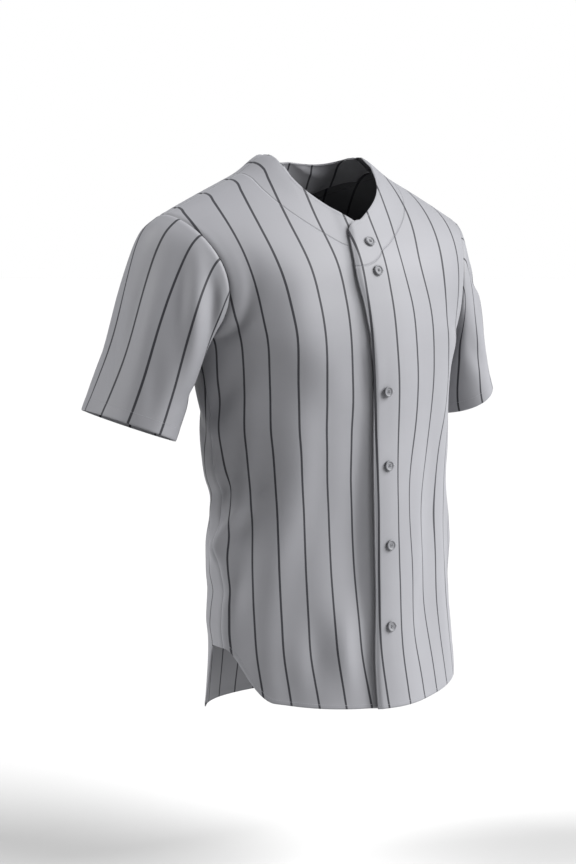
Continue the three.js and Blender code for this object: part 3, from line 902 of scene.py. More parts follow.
@dataclass
class BodyCloth:
    """The body's three panels on one set of rows, so that their seams meet."""

    form: BodyForm
    folds: FoldSet = BODY_FOLDS
    cloth: float = 1.3
    placket_cloth: float = 2.8
    band_stand: float = 6.5
    band_edge_drop: float = 2.4
    band_edge_roll: float = 7.0
    band_fade: float = 80.0
    band_thinning: float = 8.0
    band_seam_levels: float = 20.0
    trough_depth: Curve = Curve(
        (0, 60, 130, 200, 270, 340, 400, 440, 490, 540, 600, 760),
        (3.0, 3.5, 4.5, 8.5, 9.5, 8.0, 5.0, 3.0, 4.0, 2.5, 2.0, 2.0),
    )
    trough_offset: Curve = Curve(
        (0, 130, 190, 270, 330, 400, 760), (11.0, 12.0, 22.0, 25.0, 22.0, 15.0, 14.0)
    )
    trough_width: Curve = Curve(
        (0, 130, 190, 270, 330, 400, 760), (8.0, 9.0, 16.0, 18.0, 16.0, 10.0, 10.0)
    )
    trough_spread: float = 42.0
    neck_edge: float = 0.6
    neck_edge_reach: float = 0.9
    armhole_fade: float = 30.0
    shoulder_fade: float = 40.0
    seam: SeamRelief = SeamRelief()
    hem: TurnedHem = TurnedHem(7.0)
    facing_cut: FacingCut = FacingCut()
    column_step: float = 4.2
    neck_step: float = 1.5
    band_step: float = 3.0
    row_step: float = 5.0
    fine_step: float = 0.8
    half_girth: float = 255.0
    upper_stretch: float = 1.35

    def __post_init__(self) -> None:
        """Sets the stations that the panels share."""
        form = self.form
        neck = form.neck_fraction()
        neck_girth = neck * self.half_girth
        neck_part = graded(neck_girth, self.column_step, self.neck_step, start=False)
        side_part = graded(
            self.half_girth - neck_girth, self.column_step, self.fine_step, start=False
        )
        self.places = np.concatenate([neck_part[:-1] * neck, neck + side_part * (1 - neck)])
        self.neck_column = len(neck_part) - 1
        lower = form.armpit_level - form.front_hem.level
        self.lower = graded(lower, self.row_step, self.fine_step, end=False)
        upper = self.upper_stretch * (form.shoulder_level - form.armpit_level)
        self.upper = graded(upper, self.row_step, self.fine_step, start=False)
        front, back = (self.base(face, self.places, 0)[0] for face in (Face.FRONT, Face.BACK))
        self.seam_normals = unit(grid_normals(front, 1) + grid_normals(back, -1))

    def base(self, face: Face, places: Array, hand: int) -> tuple[Array, Array, Array, Array]:
        """The bare form of a half panel on its rows and columns.

        Args:
            face: front or back.
            places: fractions of the columns, or -1 to 0 across the band.
            hand: 1 for the left front, -1 for the right one before it is mirrored, 0 for no sway.

        Returns:
            The points, their levels, their fractions and their distances from the centre line.
        """
        form = self.form
        hem, top = form.hem_level(face, places), form.top_level(face, places)
        below = hem + (form.armpit_level - hem) * self.lower[:, None]
        above = form.armpit_level + (top - form.armpit_level) * self.upper[1:, None]
        level = np.concatenate([below, above])
        band = np.clip(-places, 0, 1) * form.band_reach.at(level)
        on_band = -form.fraction_at(face, level, band)
        fraction = np.where(places < 0, on_band, np.broadcast_to(places, level.shape))
        points = form.softened(lambda at, f: form.point(face, at, f), level, fraction)
        from_centre = points[..., 0].copy()
        points[..., 0] += hand * form.sway.at(level) * (1 - np.abs(fraction))
        return points, level, fraction, from_centre

    def share_seams(self, normals: Array, columns: Array, flip: float) -> None:
        """Gives the seam edges of a panel the normals that both of its sides agree on.

        Args:
            normals: normals of the panel, changed in place.
            columns: the panel's column for each shared place.
            flip: -1 on a half that is mirrored.
        """
        shared = self.seam_normals * np.array([flip, 1.0, 1.0])
        normals[:, columns[-1]] = shared[:, -1]
        normals[-1, columns[self.neck_column :]] = shared[-1, self.neck_column :]

    def edge_relief(self, to_seam: Array, to_hem: Array, to_neck: Array) -> Array:
        """The relief of the seams and the hem, less a bell that rounds the neck edge."""
        sewn = self.seam.relief(to_seam) + self.hem.relief(to_hem)
        return sewn - self.neck_edge * bell(to_neck, self.neck_edge_reach)

    def band_relief(self, x: Array, level: Array, over: bool) -> Array:
        """How far a front stands off the body near the centre line.

        The upper front stands off and falls back over the fade, and its folded edge rolls in. The
        lower front dips in a bell beside the band.

        Args:
            x: distance from the centre line, negative past it.
            level: levels.
            over: whether this is the upper front.

        Returns:
            Heights in mm.
        """
        form = self.form
        near_seam = np.clip((form.shoulder_level - level) / self.band_seam_levels, 0, 1)
        if not over:
            middle = form.band_reach.at(level) + self.trough_offset.at(level)
            width = np.where(x > middle, self.trough_spread, self.trough_width.at(level))
            return -self.trough_depth.at(level) * bell(x - middle, width) * near_seam
        on_band = 1 - smooth((x - form.band_width / 2) / self.band_fade)
        rolled = smooth((-x - form.band_reach.at(level)) / self.band_edge_roll + 1)
        return (self.band_stand * on_band - self.band_edge_drop * rolled) * near_seam

    def around(self, face: Face, hand: Hand, fraction: Array) -> Array:
        """Position round the body for the folds, from the centre front by the wearer's left."""
        girth = fraction * self.half_girth
        half = 2 * self.half_girth
        if face is Face.FRONT:
            return hand.value * girth
        return half - hand.value * girth

    def edge_fade(self, to_armhole: Array, to_shoulder: Array) -> Array:
        """Folds die out towards the armhole and the shoulder seam, as smoothsteps."""
        return smooth(to_armhole / self.armhole_fade) * smooth(to_shoulder / self.shoulder_fade)

    def front(self, hand: Hand, stripes: Stripes) -> Sheet:
        """One front. The left one laps over the right one at the centre line.

        Args:
            hand: which front.
            stripes: how its pinstripes lie.

        Returns:
            The sheet, in its place.
        """
        over = hand is Hand.LEFT
        form = self.form
        band = graded(form.band_width, self.band_step, self.fine_step, end=False)
        places = np.concatenate([band[:-1] - 1, self.places])
        columns = np.arange(len(self.places)) + len(band) - 1
        points, level, fraction, x = self.base(Face.FRONT, places, hand.value)
        normals = grid_normals(points, 1)
        self.share_seams(normals, columns, 1)
        neck = np.concatenate([points[:, 0][-2:], points[-1, : columns[self.neck_column] + 1]])
        seam, shoulder = points[:, -1], points[-1, columns[self.neck_column] :]
        to_hem = distance_to_line(points, points[0])
        to_neck = distance_to_line(points, neck)
        to_seam = distance_to_line(points, seam)
        to_shoulder = distance_to_line(points, shoulder)
        above = seam[len(self.lower) - 1 :]
        fade = self.edge_fade(distance_to_line(points, above), to_shoulder)
        relief = self.folds.height(self.around(Face.FRONT, hand, np.maximum(fraction, 0)), level)
        relief = relief * fade + self.band_relief(x, level, over)
        relief = relief + self.edge_relief(np.minimum(to_seam, to_shoulder), to_hem, to_neck)
        outer = points + normals * relief[..., None]
        outer_normals = grid_normals(outer, 1)
        self.share_seams(outer_normals, columns, 1)
        on_band = 1 - smooth((x - form.band_width) / self.band_thinning)
        thickness = self.cloth + self.hem.extra_cloth(to_hem)
        if over:
            thickness = thickness + (self.placket_cloth - self.cloth) * on_band
        girth = form.softened(lambda at, f: form.girth(Face.FRONT, at, f), level, fraction)
        uv = np.stack([stripes.across(girth, level), level], axis=-1)
        sheet = Sheet(outer, outer_normals, thickness, uv)
        sheet.distances = {"to_hem": to_hem, "to_neck": to_neck}
        return sheet if over else sheet.mirrored()

    def back(self, stripes: Stripes) -> Sheet:
        """The back, from the right side seam to the left one.

        Args:
            stripes: how its pinstripes lie.

        Returns:
            The sheet.
        """
        form = self.form
        count = len(self.places)
        places = np.concatenate([-self.places[:0:-1], self.places])
        half = self.base(Face.BACK, self.places, 0)
        pick = np.abs(np.arange(2 * count - 1) - (count - 1))
        sign = np.where(np.arange(2 * count - 1) < count - 1, -1.0, 1.0)
        points = half[0][:, pick] * np.stack([sign, sign * sign, sign * sign], axis=-1)
        level, fraction = half[1][:, pick], half[2][:, pick]
        normals = grid_normals(points, -1)
        left, right = np.arange(count) + count - 1, count - 1 - np.arange(count)
        self.share_seams(normals, left, 1)
        self.share_seams(normals, right, -1)
        first, last = right[self.neck_column], left[self.neck_column]
        start = len(self.lower) - 1
        to_hem = distance_to_line(points, points[0])
        to_neck = distance_to_line(points, points[-1, first : last + 1])
        to_seam, to_shoulder, to_armhole = (
            np.minimum(distance_to_line(points, one), distance_to_line(points, other))
            for one, other in (
                (points[:, 0], points[:, -1]),
                (points[-1, last:], points[-1, : first + 1]),
                (points[start:, 0], points[start:, -1]),
            )
        )
        around = np.where(
            sign < 0,
            self.around(Face.BACK, Hand.RIGHT, fraction),
            self.around(Face.BACK, Hand.LEFT, fraction),
        )
        relief = self.folds.height(around, level) * self.edge_fade(to_armhole, to_shoulder)
        relief = relief + self.edge_relief(np.minimum(to_seam, to_shoulder), to_hem, to_neck)
        outer = points + normals * relief[..., None]
        outer_normals = grid_normals(outer, -1)
        self.share_seams(outer_normals, left, 1)
        self.share_seams(outer_normals, right, -1)
        thickness = self.cloth + self.hem.extra_cloth(to_hem)
        girth = sign * form.softened(lambda at, f: form.girth(Face.BACK, at, f), level, fraction)
        uv = np.stack([stripes.across(girth, level), level], axis=-1)
        sheet = Sheet(outer, outer_normals, thickness, uv)
        sheet.distances = {"to_hem": to_hem, "to_neck": to_neck}
        self.back_columns = (first, last)
        return sheet

    def facing(self, back: Sheet) -> Sheet:
        """The facing inside the back of the neck: the back's own points moved inwards.

        Its rows run evenly from its lower edge to the top of the back.

        Args:
            back: the back's sheet.

        Returns:
            The facing's sheet.
        """
        cut = self.facing_cut
        first, last = self.back_columns
        across = lengths_along(back.outer, 1)[-1]
        left = int(np.searchsorted(across, across[last] + cut.shoulder_reach))
        right = int(np.searchsorted(across, across[first] - cut.shoulder_reach))
        columns = np.arange(right, left + 1)
        z = back.outer[..., 2]
        lower = cut.lower_edge.at(np.abs(back.outer[-1, columns, 0]))
        numbers = np.arange(len(z))
        start = np.array([np.interp(edge, z[:, j], numbers) for edge, j in zip(lower, columns)])
        index = start + (numbers[-1] - start) * np.linspace(0, 1, cut.rows)[:, None]
        row = np.minimum(index.astype(int), len(z) - 2)

        def between(values: Array) -> Array:
            """Values of the back at the facing's rows, between the two nearest rows."""
            share = (index - row).reshape(index.shape + (1,) * (values.ndim - 2))
            return values[row, columns] * (1 - share) + values[row + 1, columns] * share

        normals = unit(between(back.normals))
        cloth = np.broadcast_to(back.thickness, z.shape)
        outer = between(back.outer) - normals * (between(cloth) + cut.gap)[..., None]
        edge = lengths_along(outer, 0)
        thickness = cut.cloth + cut.hem.extra_cloth(edge)
        uv = np.stack([outer[..., 0] + cut.stripe_shift, between(back.uv[..., 1])], axis=-1)
        # The facing's painted shade starts above every level, so it gets none.
        sheet = Sheet(outer, normals, thickness, uv, painted_shade_from=ABOVE_ALL_LEVELS)
        sheet.distances = {"to_hem": edge, "to_neck": between(back.distances["to_neck"])}
        return sheet


@dataclass(frozen=True)
class SleeveShape:
    """One sleeve's cuff oval and the curve from the armhole, as in the part's source.

    The oval has its centre, its half width outwards and its half width forwards. The sleeve leans
    outwards and backwards by degrees, and its top leaves the shoulder with the cap's pull.
    """

    hand: Hand
    cuff: tuple[float, float, float]
    out: float
    fore: float
    lean: float
    back: float
    cap: float
    folds: FoldSet
    stripe_spread: Curve
    stripe_middle: Curve


RIGHT_SLEEVE_FOLDS = FoldSet(
    (
        Fold(-12, 256, 4, 60, 42, 4.5),
        Fold(-16, 105, 90, 80, 44, -6.0),
        Fold(30, 120, 92, 90, 14, -4.5, -4),
        Fold(62, 110, 95, 80, 15, 3.5),
        Fold(88, 190, 104, 60, 13, -4.5, 3),
        Fold(114, 172, 107, 72, 14, 6.0, 4),
        Fold(142, 182, 107, 48, 12, -6.0, 3),
        Fold(88, 60, 96, 40, 12, -2.5),
        Fold(2, 90, 96, 80, 16, -2.6, 4),
        Fold(-30, 140, 94, 100, 18, 2.4, 4),
        Fold(-62, 150, 96, 90, 18, -3.2, -6),
        Fold(-98, 170, 80, 75, 16, 3.0, 6),
        Fold(-130, 130, 70, 70, 15, -3.0, -4),
        Fold(170, 70, 30, 40, 12, -3.0),
    ),
    circumference=520.0,
)

LEFT_SLEEVE_FOLDS = FoldSet(
    (
        Fold(52, 210, 90, 75, 60, -6.0),
        Fold(96, 185, 52, 26, 9, -7.5, 3),
        Fold(84, 150, 74, 60, 13, 3.4, 5),
        Fold(52, 160, 86, 80, 16, -3.0, -5),
        Fold(8, 150, 92, 95, 20, 2.4, 5),
        Fold(-40, 165, 94, 85, 17, -3.2, -5),
        Fold(-85, 150, 98, 80, 16, 3.0, 6),
        Fold(-120, 120, 76, 65, 15, -3.0, 4),
        Fold(124, 90, 60, 50, 14, -3.2, 4),
        Fold(30, 55, 66, 46, 14, 2.2),
    ),
    circumference=520.0,
)


LEFT_SLEEVE = SleeveShape(
    Hand.LEFT,
    cuff=(286, 22, -358),
    out=57,
    fore=80,
    lean=29,
    back=9,
    cap=44,
    folds=LEFT_SLEEVE_FOLDS,
    stripe_spread=Curve((0, 300), (1.0, 1.0)),
    stripe_middle=Curve((0, 85, 150, 210, 300), (115, 112, 121, 118, 115)),
)

RIGHT_SLEEVE = SleeveShape(
    Hand.RIGHT,
    cuff=(295, 24, -382),
    out=61,
    fore=86,
    lean=20,
    back=5,
    cap=84,
    folds=RIGHT_SLEEVE_FOLDS,
    stripe_spread=Curve((0, 80, 300), (1.24, 1.15, 1.10)),
    stripe_middle=Curve((0, 70, 140, 300), (68, 72.5, 73.5, 75)),
)


@dataclass
class SleeveCloth:
    """A sleeve: rings that run from the armhole edge to the cuff as cubics."""

    form: BodyForm
    shape: SleeveShape
    cloth: float = 1.3
    under_pull: float = 90.0
    cuff_pull: float = 200.0
    leave_at_armpit: tuple[float, float] = (0.6, -0.8)
    leave_at_top: tuple[float, float] = (0.94, -0.42)
    hem: TurnedHem = TurnedHem(18.0, rise=0.3)
    seam: SeamRelief = SeamRelief(puff_place=6.0)
    fold_fade: float = 34.0
    length: float = 290.0
    columns: int = 132
    row_step: float = 5.0
    fine_step: float = 0.8

    def axes(self) -> tuple[Array, Array, Array]:
        """The cuff's own directions: down the sleeve, outwards and forwards."""
        lean, back = math.radians(self.shape.lean), math.radians(self.shape.back)
        down = unit(np.array([math.sin(lean), math.sin(back), -math.cos(lean)]))
        outwards = np.array([math.cos(lean), 0.0, math.sin(lean)])
        outwards = unit(outwards - down * (outwards @ down))
        forwards = np.cross(down, outwards)
        return down, outwards, forwards if forwards[1] < 0 else -forwards

    def point(self, s: Array, turn: Array) -> Array:
        """Points of the sleeve: Hermite cubics from the armhole edge to the cuff oval.

        Args:
            s: 0 at the armhole, 1 at the cuff.
            turn: angle round the sleeve, 0 on top, positive to the front.

        Returns:
            Points, with the coordinates on the last axis.
        """
        form, shape = self.form, self.shape
        down, outwards, forwards = self.axes()
        rise = (form.shoulder_level - form.armpit_level) * (1 - np.abs(turn) / math.pi)
        level = form.armpit_level + rise
        front = (turn >= 0)[..., None]
        start = np.where(front, form.armhole(level, Face.FRONT), form.armhole(level, Face.BACK))
        end = (
            np.array(shape.cuff)
            + outwards * (shape.out * np.cos(turn))[..., None]
            + forwards * (shape.fore * np.sin(turn))[..., None]
        )
        top = (1 + np.cos(turn)) / 2
        (ax, az), (tx, tz) = self.leave_at_armpit, self.leave_at_top
        leave = unit(np.stack([ax + (tx - ax) * top, 0 * top, az + (tz - az) * top], axis=-1))
        pull = (self.under_pull + shape.cap * top)[..., None]
        s = s[..., None]
        return (
            (2 * s**3 - 3 * s**2 + 1) * start
            + (s**3 - 2 * s**2 + s) * leave * pull
            + (3 * s**2 - 2 * s**3) * end
            + (s**3 - s**2) * down * self.cuff_pull
        )

    def build(self) -> Sheet:
        """The sleeve's sheet. Its width round the sleeve is measured square to the way down.

        Returns:
            The sheet, in its place.
        """
        stations = graded(self.length, self.row_step, self.fine_step)
        turns = math.pi * (1 - 2 * np.arange(self.columns + 1) / self.columns)
        s, turn = np.meshgrid(stations, turns, indexing="ij")
        full = self.point(s, turn)
        way_down = unit(np.gradient(full, axis=0))
        chord = np.diff(full, axis=1)
        middle = unit(way_down[:, 1:] + way_down[:, :-1])
        chord = chord - middle * (chord * middle).sum(axis=-1, keepdims=True)
        width = np.pad(np.cumsum(np.linalg.norm(chord, axis=-1), axis=1), ((0, 0), (1, 0)))
        width = width[:, self.columns // 2 : self.columns // 2 + 1] - width
        down = lengths_along(full, 0)
        to_cuff = down[-1:] - down
        points = full[:, :-1]
        normals = grid_normals(points, -1, wraps=True)
        around, up = width[:, :-1], to_cuff[:, :-1]
        from_armhole = down[:, :-1]
        relief = self.shape.folds.height(around, up) * smooth(from_armhole / self.fold_fade)
        relief = relief + self.seam.relief(from_armhole) + self.hem.relief(up)
        outer = points + normals * relief[..., None]
        thickness = self.cloth + self.hem.extra_cloth(up)
        middle = self.shape.stripe_middle.at(to_cuff)
        uv = np.stack([(width - middle) / self.shape.stripe_spread.at(to_cuff), to_cuff], axis=-1)
        outer_normals = grid_normals(outer, -1, wraps=True)
        outer_normals[0] = unit(normals[0] + outer_normals[0])
        sheet = Sheet(outer, outer_normals, thickness, uv, wraps=True)
        sheet.distances = {"to_hem": up, "to_neck": np.full(up.shape, FAR_FROM_NECK)}
        return sheet if self.shape.hand is Hand.LEFT else sheet.mirrored()


@dataclass(frozen=True)
class Stitching:
    """A row of short raised stitches, each a flattened six-sided bead."""

    length: float = 2.3
    pitch: float = 3.1
    width: float = 0.55
    lift: float = 0.12
    flatness: float = 0.7
    places: tuple[float, ...] = (-0.5, -0.36, 0.0, 0.36, 0.5)
    fullness: tuple[float, ...] = (0.15, 0.8, 1.0, 0.8, 0.15)

    def along(self, line: Array, normals: Array) -> Mesh:
        """Stitches along a line on the cloth.

        The line is walked in equal steps of the pitch, and each stitch is a bead stretched along
        it: rings of six points, at places along its length and with a fullness at each.

        Args:
            line: points along the seam.
            normals: the cloth's normals there.

        Returns:
            Vertices and quads.
        """
        run = np.concatenate([[0.0], np.cumsum(np.linalg.norm(np.diff(line, axis=0), axis=1))])
        middle = np.arange(self.pitch, run[-1] - self.pitch, self.pitch)

        def walked(values: Array, at: Array) -> Array:
            """Points or normals of the line at distances along it."""
            return np.stack([np.interp(at, run, values[:, k]) for k in range(3)], axis=-1)

        at, out = walked(line, middle), unit(walked(normals, middle))
        way = unit(walked(line, middle + 1) - at)
        beside = np.cross(out, way)
        turn = np.arange(6) * math.pi / 3
        place = np.array(self.places) * self.length
        radius = np.array(self.fullness)[:, None] * self.width / 2
        sag = 1 - (2 * place / self.length) ** 2
        shift = place[None, :, None, None] * way[:, None, None, :]
        side = (radius * np.cos(turn))[None, :, :, None] * beside[:, None, None, :]
        rise = radius * np.sin(turn) * self.flatness + self.lift * sag[:, None]
        rise = rise[None, :, :, None] * out[:, None, None, :]
        points = at[:, None, None, :] + shift + side + rise
        rings = len(self.places)
        last = (rings - 1) * 6
        ends = np.array([(3, 2, 1, 0), (5, 4, 3, 0), (0, 1, 2, 3), (0, 3, 4, 5)])
        ends[2:] += last
        bead = np.concatenate([ring_quads(rings, 6), ends])
        quads = np.arange(len(at))[:, None, None] * rings * 6 + bead
        return points.reshape(-1, 3), quads.reshape(-1, 4)


def contour(
    sheet: Sheet, values: Array, target: float, columns: Array, from_top: bool
) -> tuple[Array, Array]:
    """The line on a sheet where a distance passes a value, one crossing for each column.

    Args:
        sheet: the cloth.
        values: the distance at each grid point.
        target: the distance of the line.
        columns: the columns to look in.
        from_top: whether the crossing nearest to the top row is taken.

    Returns:
        Points and normals along the line.
    """
    found = values[:, columns]
    inside = found < target
    if from_top:
        low = inside.shape[0] - 1 - np.argmin(inside[::-1], axis=0)
        high = np.minimum(low + 1, inside.shape[0] - 1)
    else:
        low = np.argmin(inside, axis=0)
        high = np.maximum(low - 1, 0)
    a, b = found[low, np.arange(len(columns))], found[high, np.arange(len(columns))]
    t = np.clip((target - a) / np.where(np.abs(b - a) < 1e-9, 1.0, b - a), 0, 1)[:, None]
    points = sheet.outer[low, columns] * (1 - t) + sheet.outer[high, columns] * t
    normals = unit(sheet.normals[low, columns] * (1 - t) + sheet.normals[high, columns] * t)
    return points, normals


def join_parts(parts: list[Mesh]) -> Mesh:
    """Vertices and quads of several meshes as one."""
    offsets = np.cumsum([0] + [len(points) for points, _ in parts[:-1]])
    points = np.concatenate([points for points, _ in parts])
    quads = np.concatenate([quads + offset for (_, quads), offset in zip(parts, offsets)])
    return points, quads


class Socket:
    """A shader value that adds Math nodes as it is used in Python expressions."""

    def __init__(self, graph: "ShaderGraph", socket: bpy.types.NodeSocket) -> None:
        """Keeps the node tree and the socket that holds the value."""
        self.graph = graph
        self.socket = socket

    def _math(self, operation: str, *values: "Socket | float") -> "Socket":
        """A Math node of the values."""
        return self.graph.node("ShaderNodeMath", {"operation": operation}, list(values))

    def __add__(self, other: "Socket | float") -> "Socket":
        """Sum."""
        return self._math("ADD", self, other)

    __radd__ = __add__

    def __mul__(self, other: "Socket | float") -> "Socket":
        """Product."""
        return self._math("MULTIPLY", self, other)

    __rmul__ = __mul__

    def __sub__(self, other: "Socket | float") -> "Socket":
        """Difference."""
        return self._math("SUBTRACT", self, other)

    def __rsub__(self, other: "Socket | float") -> "Socket":
        """Difference from a number."""
        return self._math("SUBTRACT", other, self)

    def __truediv__(self, other: "Socket | float") -> "Socket":
        """Quotient."""
        return self._math("DIVIDE", self, other)

    def fract(self) -> "Socket":
        """The part after the point."""
        return self._math("FRACT", self)

    def absolute(self) -> "Socket":
        """The value without its sign."""
        return self._math("ABSOLUTE", self)

    def sine(self) -> "Socket":
        """Sine of the value in radians."""
        return self._math("SINE", self)

    def fade(self, low: float, high: float) -> "Socket":
        """0 below low and 1 above high, smooth between."""
        return self.graph.node(
            "ShaderNodeMapRange",
            {"interpolation_type": "SMOOTHSTEP"},
            [self, low, high, 0.0, 1.0],
        )


class ShaderGraph:
    """A node tree of a material or of the world, built from nodes and expressions."""

    def __init__(self, tree: bpy.types.NodeTree) -> None:
        """Clears the tree."""
        self.tree = tree
        tree.nodes.clear()

    def node(
        self,
        kind: str,
        settings: dict[str, str] | None = None,
        inputs: dict | list | None = None,
        output: int | str = 0,
    ) -> Socket:
        """Adds a node.

        Args:
            kind: the node's type.
            settings: properties that are set first, by name.
            inputs: values or sockets, in order or by socket name.
            output: the output to return.

        Returns:
            The wrapped output socket.
        """
        made = self.tree.nodes.new(kind)
        for name, value in (settings or {}).items():
            setattr(made, name, value)
        pairs = inputs.items() if isinstance(inputs, dict) else enumerate(inputs or [])
        for key, value in pairs:
            if isinstance(value, Socket):
                self.tree.links.new(value.socket, made.inputs[key])
            elif value is not None:
                made.inputs[key].default_value = value
        return Socket(self, made.outputs[output]) if made.outputs else Socket(self, None)

    def attribute(self, name: str) -> Socket:
        """A value that the mesh carries at its points."""
        settings = {"attribute_name": name, "attribute_type": "GEOMETRY"}
        return self.node("ShaderNodeAttribute", settings, output="Fac")

    def noise(self, vector: Socket, scale: float, detail: float = 2.0) -> Socket:
        """Noise between 0 and 1 at a scale, on a vector."""
        return self.node(
            "ShaderNodeTexNoise",
            {"noise_dimensions": "3D"},
            {"Vector": vector, "Scale": scale, "Detail": detail, "Roughness": 0.5},
            output="Fac",
        )

    def mix_colour(
        self, factor: Socket | float, first: Socket | Colour, second: Socket | Colour
    ) -> Socket:
        """Colours mixed by a factor."""
        return self.node(
            "ShaderNodeMix",
            {"data_type": "RGBA"},
            {0: factor, 6: first, 7: second},
            output=2,
        )

    def bump(
        self, height: Socket, distance: float, strength: float, normal: Socket | None = None
    ) -> Socket:
        """A Bump node over a height."""
        inputs = {"Strength": strength, "Distance": distance, "Height": height}
        if normal is not None:
            inputs["Normal"] = normal
        return self.node("ShaderNodeBump", {}, inputs)


@dataclass(frozen=True)
class KnitFinish:
    """Smooth double knit with a soft sheen and dark pinstripes."""

    name: str = "jersey_knit"
    colour: tuple[float, float, float] = (0.199, 0.2, 0.214)
    stripe_colour: tuple[float, float, float] = (0.012, 0.012, 0.016)
    stripe_half_width: float = 0.0015
    stripe_soft: float = 0.0003
    wale: float = 0.0011
    course: float = 0.0009
    roughness: float = 0.58
    neck_stitch: float = 0.052
    # How far the painted shade darkens the inside of the body towards the stripe colour.
    painted_shade_strength: float = 0.62

    def build(self) -> bpy.types.Material:
        """The material. Stripes, stitches and the painted inner shade follow the cloth's own map
        and attributes.

        Returns:
            The material.
        """
        material = bpy.data.materials.new(self.name)
        material.use_nodes = True
        graph = ShaderGraph(material.node_tree)
        cloth = graph.node("ShaderNodeUVMap", {"uv_map": "cloth"})
        across = graph.node("ShaderNodeSeparateXYZ", {}, [cloth], output="X")
        along = graph.node("ShaderNodeSeparateXYZ", {}, [cloth], output="Y")
        wander = (graph.noise(cloth, 9.0) - 0.5) * 0.0006
        turns = (across + wander) / (STRIPE_PITCH * MM) + 0.5
        off = (turns.fract() - 0.5).absolute() * (STRIPE_PITCH * MM)
        edge, soft = self.stripe_half_width, self.stripe_soft
        stripe = 1.0 - off.fade(edge - soft, edge + soft)
        mottle = graph.noise(cloth, 24.0, 3.0)
        fibre = graph.noise(cloth, 900.0, 1.0)
        light = tuple(c * 1.06 for c in self.colour) + (1.0,)
        dark = tuple(c * 0.93 for c in self.colour) + (1.0,)
        ground = graph.mix_colour(mottle * 0.6 + fibre * 0.4, dark, light)
        striped = graph.mix_colour(stripe * 0.96, ground, (*self.stripe_colour, 1.0))
        # Painted shade: the inside of the upper body is darkened towards the stripe colour.
        painted_shade = graph.attribute("painted_shade_mask")
        colour = graph.mix_colour(painted_shade * self.painted_shade_strength, striped, (*self.stripe_colour, 1.0))
        rib = (across * (2 * math.pi / self.wale)).sine() * 0.5
        loop = (along * (2 * math.pi / self.course) + rib * 1.2).sine() * 0.5
        texture = rib * 0.4 + loop * 0.4 + fibre
        to_neck = graph.attribute("to_neck")
        sewn = 1.0 - (to_neck - self.neck_stitch).absolute().fade(0.0, 0.0022)
        knit = graph.bump(texture, 0.00006, 0.55)
        normal = graph.bump(1.0 - sewn, 0.0009, 0.8, knit)
        shader = graph.node(
            "ShaderNodeBsdfPrincipled",
            {},
            {
                "Base Color": colour,
                "Roughness": self.roughness + (mottle - 0.5) * 0.12 + stripe * 0.1,
                "Specular IOR Level": 0.3,
                "Sheen Weight": 0.1,
                "Sheen Roughness": 0.45,
                "Sheen Tint": (0.92, 0.94, 1.0, 1.0),
                "Normal": normal,
            },
        )
        graph.node("ShaderNodeOutputMaterial", {}, {"Surface": shader})
        return material


@dataclass(frozen=True)
class PlainFinish:
    """A moulded or spun finish of one colour, with fine grain from noise on Object coordinates."""

    name: str
    colour: tuple[float, float, float]
    roughness: float
    specular: float
    grain_scale: float
    grain_depth: float

    def build(self) -> bpy.types.Material:
        """The material.

        Returns:
            The material.
        """
        material = bpy.data.materials.new(self.name)
        material.use_nodes = True
        graph = ShaderGraph(material.node_tree)
        place = graph.node("ShaderNodeTexCoord", {}, output="Object")
        grain = graph.noise(place, self.grain_scale, 2.0)
        cloud = graph.noise(place, self.grain_scale / 12, 2.0)
        light = tuple(c * 1.08 for c in self.colour) + (1.0,)
        dark = tuple(c * 0.9 for c in self.colour) + (1.0,)
        shader = graph.node(
            "ShaderNodeBsdfPrincipled",
            {},
            {
                "Base Color": graph.mix_colour(cloud, dark, light),
                "Roughness": self.roughness + (grain - 0.5) * 0.15,
                "Specular IOR Level": self.specular,
                "Normal": graph.bump(grain, self.grain_depth, 0.5),
            },
        )
        graph.node("ShaderNodeOutputMaterial", {}, {"Surface": shader})
        return material


